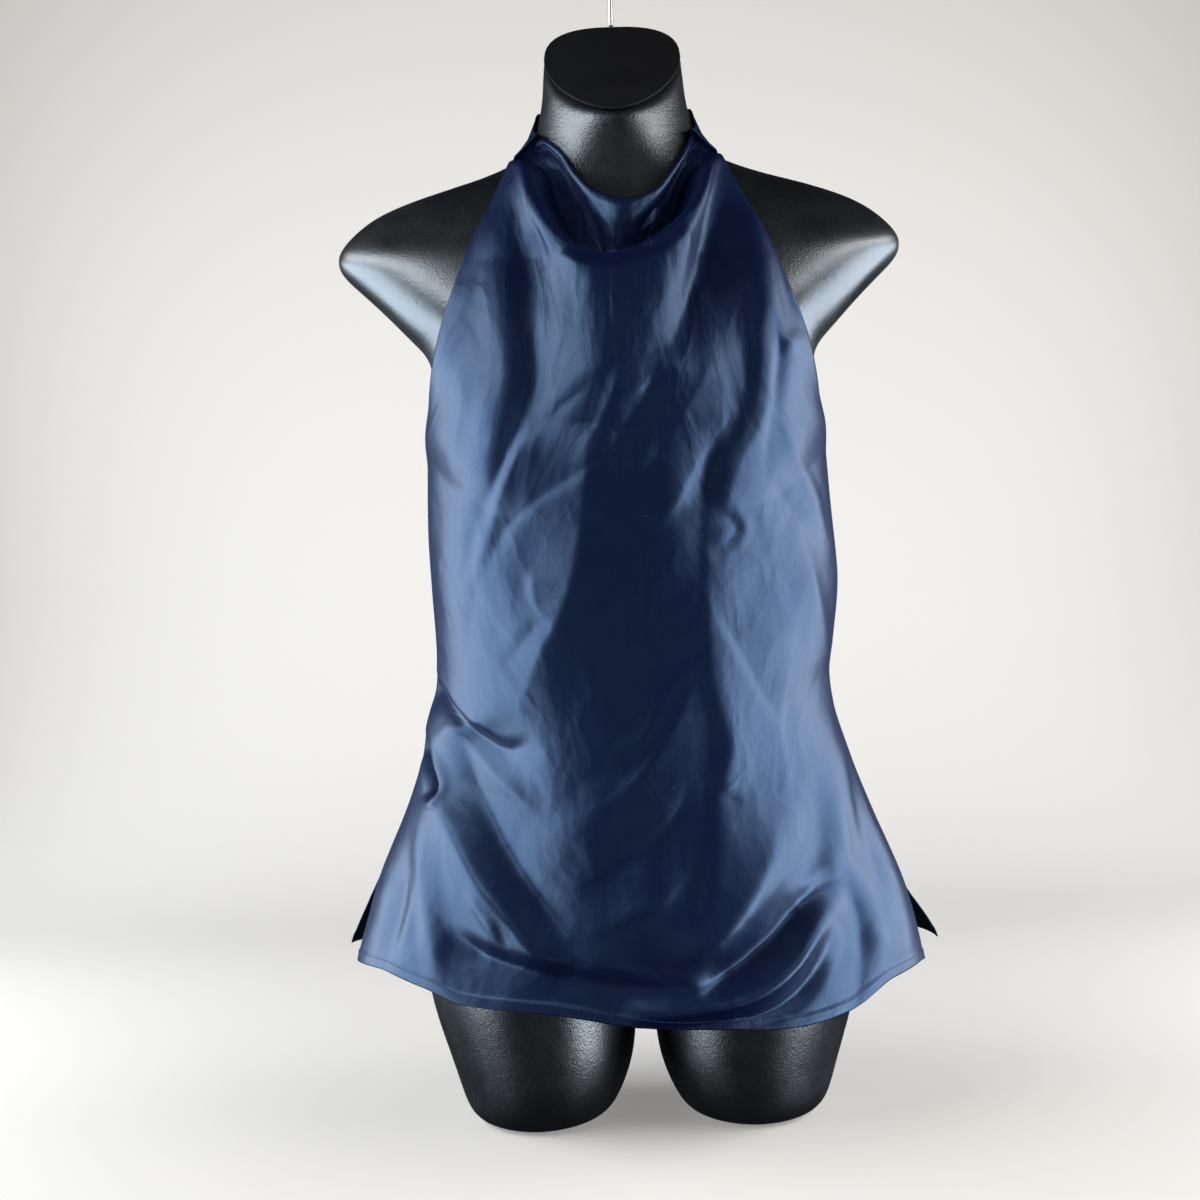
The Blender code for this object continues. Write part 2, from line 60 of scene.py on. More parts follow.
# The top's side line as worn: height, half width on the wearer's right, half width on their left
SIDE_WIDTH = (
    (0.090, 0.2215, 0.2185),
    (0.120, 0.2190, 0.2125),
    (0.160, 0.2055, 0.1990),
    (0.200, 0.1885, 0.1835),
    (0.240, 0.1710, 0.1685),
    (0.270, 0.1612, 0.1580),
    (0.300, 0.1562, 0.1495),
    (0.325, 0.1488, 0.1462),
    (0.350, 0.1470, 0.1503),
    (0.400, 0.1490, 0.1556),
    (0.440, 0.1503, 0.1530),
    (0.500, 0.1487, 0.1497),
)
# How far the cloth stands in front of and behind the axis: height, in front, behind
REACH = (
    (0.085, 0.150, 0.146),
    (0.150, 0.147, 0.136),
    (0.200, 0.143, 0.126),
    (0.250, 0.139, 0.113),
    (0.300, 0.136, 0.102),
    (0.350, 0.134, 0.095),
    (0.420, 0.133, 0.092),
    (0.490, 0.134, 0.094),
    (0.540, 0.130, 0.096),
    (0.580, 0.122, 0.096),
    (0.630, 0.108, 0.096),
)
# The armhole's edge, from the underarm up to the neck: height, half width, reach in front, and how far
# round each row bends, in degrees either way
ARMHOLE = (
    (0.4930, 0.1490, 0.0006, 90.0),
    (0.5160, 0.1440, 0.0380, 84.0),
    (0.5450, 0.1385, 0.0650, 74.0),
    (0.5680, 0.1325, 0.0790, 66.0),
    (0.5950, 0.1235, 0.0850, 62.0),
    (0.6240, 0.1135, 0.0800, 62.0),
    (0.6520, 0.1030, 0.0690, 64.0),
    (0.6800, 0.0900, 0.0540, 66.0),
    (0.7125, 0.0770, 0.0380, 70.0),
)
UNDERARM = 0.493
UNDERARM_BLEND = 0.04  # the height over which the side turns into the armhole
NECK_POINT = ARMHOLE[-1][0]
# The neckline, where the collar is sewn on, from the wearer's right to their left: place across, height
NECKLINE = (
    (-1.00, 0.7125),
    (-0.80, 0.7040),
    (-0.58, 0.6710),
    (-0.32, 0.6375),
    (-0.08, 0.6272),
    (0.14, 0.6325),
    (0.50, 0.6605),
    (0.80, 0.7000),
    (1.00, 0.7125),
)
# The hems, from the wearer's right side seam to the left one: place across, height
FRONT_HEM = (
    (-1.00, 0.1228),
    (-0.70, 0.1275),
    (-0.51, 0.1200),
    (-0.40, 0.1110),
    (-0.20, 0.1068),
    (0.00, 0.0975),
    (0.17, 0.0930),
    (0.32, 0.0902),
    (0.47, 0.0955),
    (0.63, 0.1108),
    (0.80, 0.1142),
    (1.00, 0.1070),
)
BACK_HEM = (
    (-1.00, 0.1290),
    (-0.60, 0.1210),
    (-0.15, 0.1080),
    (0.30, 0.1060),
    (0.70, 0.1190),
    (1.00, 0.1180),
)
BACK_DIP = 0.468
BACK_DIP_POWER = 2.2
BACK_HEIGHT = 0.36
# The vents: their tops on the wearer's right and left, how far their edges part, how far the back
# flares on each side, and how far the front draws in
VENT_TOP = (0.195, 0.170)
VENT_SPREAD = 0.011
VENT_FLARE = (0.005, 0.012)
VENT_INSET = 0.0060

# Folds of the front, in millimetres: height out of the cloth (a minus sign makes a hollow), how far it
# spreads below its line (to the right of a steep one), how far above (or to the left), how round its
# crest is, and its line's points as (across, up, share of the height)
FRONT_FOLDS = (
    # the roll beside the collar on each side, and the hollow outside it
    (3.2, 22, 10, 10, ((-74, 706, 0.2), (-65, 684, 0.8), (-54, 662, 1), (-42, 643, 1), (-28, 622, 0.7),
     (-20, 600, 0))),
    (-2.5, 6, 16, 2, ((-80, 712, 0.3), (-70, 688, 0.9), (-63, 665, 1), (-57, 645, 1), (-54, 625, 0.5),
     (-54, 605, 0))),
    (4.5, 14, 32, 11, ((74, 708, 0.2), (65, 688, 0.9), (55, 665, 1), (45, 645, 1), (35, 622, 1),
     (28, 600, 0.8), (26, 578, 0.4), (26, 560, 0))),
    (-7.5, 40, 16, 5, ((82, 712, 0.2), (72, 690, 0.8), (68, 665, 1), (63, 640, 1), (58, 612, 1),
     (50, 590, 0.8), (38, 566, 0.4), (28, 548, 0))),
    # from the collar down to the bust
    (-6, 30, 17, 7, ((-56, 656, 0), (-64, 622, 0.8), (-65, 580, 1), (-60, 545, 1), (-64, 522, 0.7),
     (-80, 496, 0))),
    (4.6, 70, 42, 4, ((-34, 648, 0), (-22, 630, 0.7), (-20, 600, 1), (-19, 560, 0.9), (-19, 530, 0.6),
     (-22, 505, 0))),
    (-5.5, 14, 24, 5, ((86, 625, 0), (86, 575, 0.8), (84, 535, 1), (76, 508, 1), (62, 488, 1),
     (53, 462, 1), (48, 425, 0.8), (46, 380, 0))),
    (5, 34, 28, 5, ((92, 700, 0), (96, 650, 1), (98, 590, 1), (97, 545, 1), (90, 513, 0.9), (76, 488, 0.6),
     (66, 462, 0))),
    (-4.5, 16, 12, 4, ((106, 672, 0), (112, 648, 0.9), (117, 615, 1), (120, 590, 0.9), (122, 570, 0))),
    # the two edges of the flat middle
    (5.5, 40, 34, 1.5, ((-24, 505, 0), (-27, 478, 0.8), (-29, 450, 1), (-34, 420, 1), (-40, 395, 1),
     (-50, 370, 0.9), (-62, 350, 0.7), (-72, 326, 0.4), (-80, 300, 0))),
    (5.5, 42, 60, 1.2, ((80, 480, 0), (58, 450, 0.5), (52, 420, 0.9), (51, 370, 1), (52, 330, 1),
     (57, 305, 1), (62, 280, 1), (54, 252, 0.9), (51, 215, 0.8), (46, 185, 0.7), (37, 160, 0.5),
     (32, 132, 0))),
    (-3, 14, 44, 5, ((40, 360, 0), (43, 325, 0.8), (48, 290, 1), (44, 252, 1), (41, 215, 0.9),
     (34, 185, 0.6), (26, 165, 0))),
    # the gathers at the right side of the waist
    (-12, 26, 9, 2.5, ((-160, 336, 0.5), (-148, 323, 1), (-137, 310, 1), (-124, 298, 0.9),
     (-109, 287, 0.6), (-95, 283, 0.35), (-82, 286, 0.2), (-70, 294, 0))),
    (4.5, 16, 20, 1, ((-152, 322, 0.3), (-141, 306, 0.9), (-128, 290, 1), (-113, 275, 1), (-99, 263, 0.9),
     (-86, 252, 0.6), (-72, 240, 0))),
    (-4, 52, 30, 12, ((-108, 300, 0), (-98, 280, 0.9), (-90, 262, 1), (-80, 245, 0.9), (-62, 224, 0.5),
     (-40, 200, 0))),
    (-14, 8, 7, 1.5, ((-170, 296, 0.2), (-160, 282, 0.8), (-152, 268, 1), (-147, 256, 1),
     (-146, 247, 0))),
    (4, 5, 6, 1, ((-151, 282, 0.2), (-143, 268, 1), (-139, 255, 1), (-142, 245, 0.9), (-151, 243, 0.5),
     (-160, 248, 0))),
    (-10.5, 60, 24, 3, ((-132, 296, 0), (-127, 284, 0.8), (-121, 268, 1), (-113, 247, 1), (-94, 214, 1),
     (-68, 180, 0.8), (-48, 158, 0.4), (-34, 140, 0))),
    (6.5, 20, 44, 1, ((-146, 254, 0), (-139, 243, 0.8), (-131, 231, 1), (-111, 196, 1), (-97, 179, 1),
     (-85, 164, 1), (-66, 140, 0.6), (-56, 126, 0))),
    # the hips and the hem
    (3, 16, 10, 4, ((-155, 240, 0), (-153, 200, 1), (-148, 160, 0.9), (-144, 135, 0.4))),
    (-3.5, 10, 14, 3, ((-168, 215, 0), (-170, 185, 1), (-176, 160, 1), (-184, 132, 0.3))),
    (-6, 40, 12, 3, ((-134, 160, 0), (-114, 146, 1), (-94, 139, 1), (-70, 134, 1), (-40, 128, 0.8),
     (0, 122, 0.4), (30, 120, 0))),
    (3, 34, 22, 5, ((-86, 222, 0), (-62, 218, 0.9), (-40, 226, 1), (-18, 246, 0.9), (4, 264, 0.5),
     (20, 290, 0))),
    (3, 28, 24, 8, ((2, 235, 0), (6, 200, 1), (6, 165, 1), (2, 138, 0))),
    (5.5, 20, 40, 5, ((100, 245, 0), (88, 212, 0.9), (70, 178, 1), (52, 150, 1), (38, 124, 0.5),
     (32, 110, 0))),
    (-9.5, 12, 24, 4, ((36, 118, 0.2), (52, 128, 0.9), (72, 138, 1), (90, 150, 1), (106, 164, 1),
     (122, 177, 0.6), (140, 186, 0))),
    (8.5, 14, 14, 2.5, ((-16, 111, 0), (8, 107, 0.7), (34, 108, 1), (60, 111, 1), (82, 119, 1),
     (101, 133, 1), (114, 148, 0.8), (128, 162, 0.4), (146, 172, 0))),
    (-4, 8, 14, 2, ((8, 98, 0.5), (48, 99, 1), (84, 102, 1), (104, 111, 1), (118, 124, 0.6),
     (126, 138, 0))),
    (-3, 14, 20, 4, ((122, 260, 0), (128, 225, 1), (124, 200, 0.8), (116, 180, 0))),
    (2.5, 12, 20, 3, ((140, 300, 0), (146, 262, 1), (152, 228, 1), (154, 200, 0))),
    (-3.5, 12, 16, 3, ((154, 262, 0), (160, 225, 1), (168, 190, 0.9), (178, 160, 0))),
    (3, 14, 14, 4, ((172, 215, 0), (182, 178, 1), (188, 145, 0.8), (192, 118, 0.3))),
    (-3.5, 12, 18, 3, ((138, 190, 0), (150, 165, 1), (154, 140, 1), (150, 112, 0.5))),
    # the left waist, the left armhole and the right flank
    (2.5, 10, 20, 2, ((118, 440, 0), (128, 398, 0.9), (136, 362, 1), (140, 332, 0.8), (146, 300, 0))),
    (-3.5, 8, 12, 2, ((102, 585, 0), (108, 560, 1), (106, 540, 1), (103, 520, 0.5), (106, 500, 0))),
    (2.5, 10, 8, 1.5, ((104, 574, 0), (114, 563, 1), (132, 571, 0.6))),
    (-3, 22, 20, 6, ((-106, 650, 0), (-103, 615, 1), (-104, 580, 0.8), (-108, 545, 0))),
    (3, 16, 34, 5, ((-80, 560, 0), (-86, 520, 1), (-96, 470, 1), (-106, 420, 0.5), (-108, 380, 0))),
    (-1.2, 8, 12, 2, ((-74, 510, 0), (-84, 482, 1), (-97, 452, 1), (-108, 425, 0.9), (-116, 398, 0))),
)

# Fine creases of the front, with the same columns
FRONT_CREASES = (
    (-1.4, 8, 26, 0.8, ((-70, 512, 0), (-80, 494, 1), (-95, 464, 1), (-108, 438, 1), (-117, 405, 0))),
    (1.3, 16, 8, 0.8, ((-64, 508, 0), (-73, 489, 1), (-87, 460, 1), (-98, 430, 0.7), (-106, 404, 0))),
    (-1.4, 29, 8, 0.8, ((-28, 475, 0.5), (-60, 458, 1), (-78, 445, 1), (-90, 430, 0.8), (-101, 404, 0))),
    (1.4, 38, 8, 0.8, ((0, 545, 0.6), (-8, 525, 1), (-20, 500, 1), (-34, 484, 0))),
    (-1.1, 9, 29, 0.8, ((-6, 545, 0), (-30, 528, 1), (-52, 512, 0.7), (-70, 498, 0))),
    (1.6, 38, 10, 0.8, ((66, 552, 0), (50, 526, 0.9), (34, 500, 1), (18, 478, 0.8), (0, 462, 0))),
    (-2.2, 26, 9, 0.8, ((24, 545, 0), (16, 528, 1), (4, 510, 1), (-8, 492, 0.6), (-16, 478, 0))),
    (2, 12, 30, 0.8, ((78, 520, 0), (62, 498, 0.8), (44, 470, 1), (28, 446, 0.8), (14, 430, 0))),
    (1.8, 30, 9, 0.8, ((44, 335, 0), (30, 305, 1), (12, 276, 1), (-10, 252, 0.6), (-34, 238, 0))),
    (-1.8, 10, 28, 0.8, ((38, 262, 0), (24, 236, 1), (2, 214, 1), (-24, 196, 0.6), (-44, 190, 0))),
    (1.6, 24, 10, 0.8, ((30, 200, 0), (14, 184, 1), (-10, 172, 1), (-40, 164, 0))),
    (-1.3, 26, 12, 0.8, ((66, 510, 0), (58, 492, 1), (48, 468, 0.8), (38, 450, 0))),
    (-1.2, 12, 32, 0.8, ((30, 548, 0), (22, 533, 1), (8, 523, 1), (-4, 516, 0))),
    (1.1, 38, 15, 1, ((64, 455, 0), (40, 428, 0.8), (22, 404, 1), (4, 388, 0.6), (-10, 380, 0))),
    (-1.8, 9, 22, 0.8, ((58, 454, 0.5), (66, 443, 1), (74, 431, 1), (66, 421, 0.9), (54, 412, 0))),
    (1.4, 8, 19, 0.8, ((70, 446, 0), (79, 434, 1), (74, 422, 0.8), (62, 412, 0))),
    (1.6, 22, 10, 0.8, ((92, 505, 0), (106, 508, 0.6), (120, 480, 1), (130, 455, 1), (139, 434, 0.8),
     (151, 414, 0))),
    (-1.4, 9, 22, 0.8, ((100, 470, 0), (110, 455, 1), (120, 440, 1), (136, 420, 0.4))),
    (-1.3, 19, 9, 0.8, ((100, 525, 0), (99, 505, 1), (97, 480, 0.8), (98, 462, 0))),
    (1.4, 8, 22, 0.8, ((122, 478, 0.2), (130, 464, 1), (136, 448, 1), (142, 420, 0))),
    (-1.4, 26, 8, 0.8, ((58, 378, 0), (67, 360, 1), (76, 344, 1), (90, 316, 1), (100, 298, 0.5),
     (104, 282, 0))),
    (1.1, 26, 9, 0.8, ((40, 340, 0.8), (27, 325, 1), (15, 310, 1), (5, 290, 0.8), (-4, 272, 0))),
    (-1.6, 19, 8, 0.8, ((46, 262, 0.4), (54, 254, 1), (63, 247, 1), (70, 242, 0))),
    (1.4, 9, 26, 0.8, ((110, 340, 0), (104, 318, 1), (100, 290, 1), (103, 260, 0.8), (100, 240, 0))),
    (1.1, 32, 14, 0.9, ((108, 236, 0), (94, 208, 1), (80, 184, 1), (68, 166, 0))),
    (-1.4, 8, 22, 0.8, ((146, 240, 0), (150, 225, 1), (155, 200, 1), (156, 182, 0))),
    (1.3, 19, 9, 0.8, ((108, 178, 0.3), (122, 190, 1), (138, 200, 0.8), (150, 204, 0))),
    (-1.2, 22, 10, 0.8, ((118, 172, 0), (140, 152, 1), (138, 130, 0.8), (126, 116, 0))),
    (1.2, 19, 9, 0.8, ((160, 150, 0), (170, 138, 1), (184, 132, 0.8), (196, 128, 0))),
    (1.3, 22, 6, 0.8, ((-66, 410, 0), (-66, 398, 1), (-65, 388, 1), (-58, 374, 0.3))),
    (-1.3, 22, 10, 0.8, ((-56, 378, 0), (-66, 368, 0.9), (-80, 352, 1), (-94, 338, 0))),
    (-0.9, 22, 10, 0.8, ((-100, 420, 0), (-110, 390, 1), (-116, 360, 1), (-114, 335, 0))),
    (1.1, 22, 9, 0.8, ((-128, 440, 0), (-138, 410, 1), (-134, 380, 0.8), (-138, 345, 0))),
    (1.6, 16, 6, 0.8, ((-118, 192, 0), (-112, 178, 1), (-104, 167, 1), (-96, 155, 0))),
    (-1.6, 16, 8, 0.8, ((-98, 172, 0.4), (-94, 160, 1), (-89, 148, 0.6))),
    (-0.8, 10, 19, 0.8, ((-176, 200, 0), (-168, 182, 1), (-171, 165, 1), (-182, 146, 0.4))),
    (1.4, 8, 19, 0.8, ((-172, 196, 0), (-163, 178, 1), (-166, 158, 0.9), (-174, 142, 0))),
    (-1.1, 26, 12, 0.8, ((-150, 180, 0), (-136, 158, 1), (-134, 138, 0.8), (-140, 118, 0))),
    (1.4, 8, 22, 0.8, ((98, 660, 0.6), (104, 640, 1), (110, 622, 0.8), (116, 604, 0))),
    (-1.3, 26, 9, 0.8, ((-126, 600, 0.3), (-112, 590, 1), (-100, 570, 0.8), (-96, 548, 0))),
    (1.1, 9, 26, 0.8, ((-120, 560, 0.2), (-112, 535, 1), (-118, 505, 0.8), (-128, 480, 0))),
    (0.9, 26, 12, 1, ((-20, 275, 0), (-6, 286, 1), (12, 294, 0))),
    (-1, 29, 14, 1, ((-84, 214, 0), (-60, 217, 1), (-40, 225, 1), (-20, 245, 0.8), (0, 260, 0))),
)

# Folds and creases of the back, with the same columns
BACK_FOLDS = (
    (-5, 22, 26, 8, ((-104, 470, 0), (-100, 400, 0.8), (-98, 320, 1), (-110, 240, 0))),
    (6, 26, 28, 8, ((-44, 440, 0), (-50, 340, 0.8), (-56, 220, 1), (-62, 108, 1))),
    (-5, 24, 26, 8, ((18, 450, 0), (22, 350, 0.7), (26, 220, 1), (30, 108, 1))),
    (5.5, 26, 24, 8, ((92, 460, 0), (88, 350, 0.8), (86, 220, 1), (88, 108, 1))),
    (5, 14, 18, 4, ((-158, 306, 0.3), (-130, 284, 1), (-100, 258, 0.8), (-76, 236, 0))),
    (-6, 10, 14, 4, ((-160, 290, 0.3), (-134, 268, 1), (-104, 240, 0.8), (-84, 218, 0))),
    (3, 12, 14, 4, ((150, 330, 0.3), (120, 316, 1), (90, 296, 0.6), (70, 280, 0))),
    (-3, 12, 14, 5, ((140, 300, 0), (132, 240, 1), (140, 180, 1), (150, 118, 1))),
    (-1, 7, 8, 0.8, ((-60, 440, 0), (-40, 400, 1), (-30, 350, 0.8), (-34, 310, 0))),
    (1, 8, 8, 0.8, ((60, 420, 0), (40, 380, 1), (46, 330, 0.8), (60, 300, 0))),
    (0.9, 8, 7, 0.8, ((-20, 300, 0), (0, 270, 1), (10, 230, 0.8), (0, 190, 0))),
    (-0.9, 8, 7, 0.8, ((110, 250, 0), (96, 210, 1), (104, 170, 0.8), (120, 140, 0))),
    (0.9, 7, 7, 0.8, ((-120, 220, 0), (-110, 190, 1), (-124, 160, 0.8), (-130, 130, 0))),
)

# The collar from the neckline to its folded edge and down behind it, at five places across: share of
# the way, then for each place how far it sinks in and how far it sags, in millimetres
COLLAR_PLACES = (-0.85, -0.5, 0.0, 0.5, 0.85)
COLLAR = (
    (0.00, 0, 0, 0, 0, 0, 0, 0, 0, 0, 0),
    (0.05, 3, 1.5, 6, 3, 4, 2.6, 5, 2.5, 2.5, 1.5),
    (0.12, 7, 3.5, 15, 8, 9.5, 8, 12, 7, 6.5, 3.5),
    (0.22, 12, 6, 25, 14, 14, 16, 21, 12, 11, 6.5),
    (0.32, 15, 7, 32, 17, 17, 22, 26, 14, 14, 8),
    (0.42, 16, 7, 34, 16, 16, 21, 28, 13, 15, 8),
    (0.54, 15, 6, 32, 13, 13, 17, 26, 10, 14, 7),
    (0.66, 12, 4.5, 25, 9, 7, 10.4, 19, 6.5, 10.5, 4.5),
    (0.80, 5, 2, 10, 4.5, 1.6, 4.7, 7, 3, 4.5, 2),
    (0.92, 0.8, 0.3, 1.6, 0.8, 0, 0.3, 1.0, 0.5, 0.8, 0.2),
    (1.00, 0, 0, 0, 0, 0, 0, 0, 0, 0, 0),
    (1.08, 2.5, 4, 3, 4, 4.5, 4, 3, 4, 2.5, 4),
    (1.30, 1.5, 12, 5, 22, 9.5, 29, 5, 22, 1.5, 12),
)
COLLAR_RETURN = 1.30
# The collar's folded edge, from one neck seam to the other: place across, x, reach in front, height
COLLAR_EDGE = (
    (-1.00, -0.0596, 0.0300, 0.7335),
    (-0.70, -0.0410, 0.0520, 0.7155),
    (-0.50, -0.0300, 0.0680, 0.6945),
    (-0.25, -0.0155, 0.0820, 0.6770),
    (0.10, 0.0060, 0.0900, 0.6690),
    (0.40, 0.0260, 0.0850, 0.6750),
    (0.65, 0.0410, 0.0700, 0.6935),
    (0.85, 0.0520, 0.0530, 0.7125),
    (1.00, 0.0596, 0.0300, 0.7335),
)
BAND_BACK_REACH = 0.050
BAND_FLARE = 0.010
BAND_TOP_BACK = 0.764
BAND_TOP_SIDE = 0.757
BAND_LOW_BACK = 0.727
BAND_OVERLAP = 0.10
BAND_REACH = 1.06  # the bands run on past the neck's sides, under the ends of the front and the collar
BAND_TUCK = 0.0035
BAND_TUCK_FROM = 0.86  # where across the tuck begins, and over what share it deepens
BAND_TUCK_RUN = 0.14
BAND_RISE_RUN = 0.55
BUTTON_HEIGHTS = (0.25, 0.75)
BUTTON_RADIUS = 0.0055
BUTTON_DOME = 0.42  # shares of the radius in front and behind
BUTTON_BACK = 0.16
BUTTON_LIFT = 0.0006  # clear of the band

HEM_DEPTH = 0.0075
HEM_STEP = 0.0006  # how much a turned edge thickens, and over what run it thins out
HEM_STEP_RUN = 0.0012
NECK_ROLL = 0.0028  # how far the front's neckline rolls in
# The front's neckline swells outwards on each side: how far, where across, over what spread, and from
# what share of the height over how much of it
RIM_SWELL = 0.007
SWELL_PLACE = 0.46
SWELL_SPREAD = 0.42
SWELL_FROM = 0.9
SWELL_RISE = 0.1
STITCH_INSET = 0.0012  # from the turned edge's inner line
STITCH_LENGTH = 0.0019
STITCH_STEP = 0.0027
THREAD = 0.00028
FORM_VOXEL = 0.0035
HOOK_WIRE = 0.0040
HOOK_TURN = math.radians(235)

FOLD_SHARPNESS = 1.7
SLOW_WAVES = 9
WAVE_TURN = 0.5  # radians either way
WAVE_LENGTHS = (0.035, 0.11)
WAVE_HEIGHT = 0.0012  # for each metre of the wave
TAU = 6.28  # a full turn

# ---------------------------------------------------------------- curves and folds


def ease(t):
    t = np.clip(t, 0.0, 1.0)
    return t * t * (3 - 2 * t)


def curve(rows, at):
    """A table's columns at each key, on smooth curves through its rows that never overshoot them."""
    rows = np.array(rows, float)
    keys, values = rows[:, 0], rows[:, 1:]
    at = np.clip(at, keys[0], keys[-1])
    steps = np.diff(keys)
    slopes = np.diff(values, axis=0) / steps[:, None]
    product = slopes[:-1] * slopes[1:]
    total = slopes[:-1] + slopes[1:]
    inner = np.where(product > 0, 2 * product / np.where(total == 0, 1, total), 0)
    tangents = np.vstack([slopes[:1], inner, slopes[-1:]])
    i = np.clip(np.searchsorted(keys, at) - 1, 0, len(steps) - 1)
    t, span = ((at - keys[i]) / steps[i])[:, None], steps[i][:, None]
    found = (
        (2 * t**3 - 3 * t**2 + 1) * values[i]
        + (t**3 - 2 * t**2 + t) * span * tangents[i]
        + (3 * t**2 - 2 * t**3) * values[i + 1]
        + (t**3 - t**2) * span * tangents[i + 1]
    )
    return found.T


def smooth_line(points, pieces=7):
    """More points on a smooth curve through a fold's own."""
    points = np.array(points, float)
    ends = np.vstack([2 * points[:1] - points[1:2], points, 2 * points[-1:] - points[-2:-1]])
    made = []
    for a, b, c, d in zip(ends, ends[1:], ends[2:], ends[3:]):
        for t in np.arange(pieces) / pieces:
            bend = 2 * a - 5 * b + 4 * c - d
            twist = 3 * b - 3 * c + d - a
            made.append(0.5 * (2 * b + (c - a) * t + bend * t**2 + twist * t**3))
    made.append(points[-1])
    return np.array(made)


def fold_height(folds, x, z):
    """How far the folds raise the cloth at places seen from the front, in metres."""
    place = np.stack([x, z], 1) * 1000
    total = np.zeros(len(x))
    for height, low_side, high_side, roundness, points in folds:
        line = smooth_line(points)
        run, drop = np.abs(line[-1, :2] - line[0, :2])
        wide = max(low_side, high_side)
        near = np.all((place > line[:, :2].min(0) - wide) & (place < line[:, :2].max(0) + wide), axis=1)
        spots = place[near]
        if not len(spots):
            continue
        best = np.full(len(spots), 1e9)
        side = np.zeros(len(spots))
        share = np.zeros(len(spots))
        for start, end in zip(line, line[1:]):
            along = end[:2] - start[:2]
            length = max(float(np.hypot(*along)), 1e-6)
            away = spots - start[:2]
            t = np.clip(away @ along / length**2, 0, 1)
            gap = np.hypot(*(away - t[:, None] * along).T)
            closer = gap < best
            best = np.where(closer, gap, best)
            cross = along[0] * away[:, 1] - along[1] * away[:, 0]
            side = np.where(closer, cross, side)
            share = np.where(closer, start[2] + (end[2] - start[2]) * t, share)
        reach = np.where((side < 0) != (drop > run), low_side, high_side)
        round_gap = np.sqrt(best**2 + roundness**2) - roundness
        fall = np.clip(1 - round_gap / reach, 0, 1)
        total[near] += height * np.clip(share, 0, 1) * fall**FOLD_SHARPNESS
    return total / 1000


def ripple(x, z, seed):
    """A gentle unevenness of hand-laid cloth, in metres, from a few slow waves."""
    random = np.random.default_rng(seed)
    total = np.zeros(len(x))
    for _ in range(SLOW_WAVES):
        turn = random.uniform(-WAVE_TURN, WAVE_TURN)
        length = random.uniform(*WAVE_LENGTHS)
        phase = random.uniform(0, TAU)
        total += length * np.sin((x * math.cos(turn) + z * math.sin(turn)) * TAU / length + phase)
    return total * WAVE_HEIGHT


# ---------------------------------------------------------------- where each piece of cloth lies


# On every panel u runs across from -1 on the wearer's right to 1 on their left, and v runs up from 0 to
# 1


def side_half_width(height, u):
    right, left = curve(SIDE_WIDTH, height)
    return np.where(u < 0, right, left)


def vent_share(height, u, foot):
    """How far open the vent is: none at its top, 1 at the hem."""
    top = np.where(u < 0, *VENT_TOP)
    return ease((top - height) / (top - foot))


def front_base(u, v):
    """The front with no folds: its points and the directions in which folds stand out."""
    foot = curve(FRONT_HEM, u)[0]
    corner = curve(FRONT_HEM, np.where(u < 0, -1.0, 1.0))[0]
    edge_z = corner + (NECK_POINT - corner) * v
    z = foot + (curve(NECKLINE, u)[0] - foot) * v
    vent = vent_share(edge_z, u, corner)
    width = side_half_width(edge_z, u) - VENT_INSET * vent
    low_edge = SEAM_GAP / 2 + VENT_SPREAD * vent
    hole_width, hole_reach, hole_spread = curve(ARMHOLE, edge_z)
    above = edge_z >= UNDERARM
    blend = ease((edge_z - UNDERARM) / UNDERARM_BLEND)
    half = np.where(above, hole_width * blend + width * (1 - blend), width)
    edge_y = np.where(above, hole_reach, low_edge)
    arc = np.radians(np.where(above, hole_spread, 90.0))
    reach = curve(REACH, z)[0]
    x = half * np.sin(u * arc) / np.sin(arc)
    y = -(edge_y + (reach - edge_y) * (np.cos(u * arc) - np.cos(arc)) / (1 - np.cos(arc)))
    out = np.stack([x / half**2, y / reach**2, 0 * x], 1)
    out /= np.linalg.norm(out, axis=1, keepdims=True)
    beside = ease(1 - np.abs(np.abs(u) - SWELL_PLACE) / SWELL_SPREAD)
    swell = RIM_SWELL * beside * ease((v - SWELL_FROM) / SWELL_RISE)
    return np.stack([x, y, z], 1) + out * swell[:, None], out


def edge_turn(distance):
    """The extra thickness of a turned edge, which ends at the hem's depth from the edge."""
    return HEM_STEP * ease((HEM_DEPTH - distance) / HEM_STEP_RUN + 0.5)


def rim_distance(u, z):
    """How far a place lies from the neckline, measured square to it."""
    rim = curve(NECKLINE, u)[0]
    before, after = (front_base(np.clip(u + step, -1, 1), np.ones(len(u)))[0] for step in (-0.01, 0.01))
    run = after - before
    return (rim - z) * np.hypot(run[:, 0], run[:, 1]) / np.linalg.norm(run, axis=1)


def front_place(u, v):
    """Where the front lies. Folds, creases and unevenness die out towards its sides and its neckline."""
    base, out = front_base(u, v)
    x, z = base[:, 0], base[:, 2]
    inside = 1 - np.abs(u) ** 12
    from_rim = rim_distance(u, z)
    raised = fold_height(FRONT_FOLDS, x, z) * inside * ease(from_rim / 0.012)
    raised += fold_height(FRONT_CREASES, x, z) * (1 - np.abs(u) ** 16)
    raised += ripple(x, z, 3) * (1 - np.abs(u) ** 8) * ease(from_rim / 0.05) * 0.35
    foot = curve(FRONT_HEM, u)[0]
    raised += edge_turn(z - foot)
    rolled = np.clip(1 - from_rim / NECK_ROLL, 0, 1)
    raised -= NECK_ROLL * (1 - np.sqrt(1 - rolled**2))
    return base + out * (raised + LIFT)[:, None]


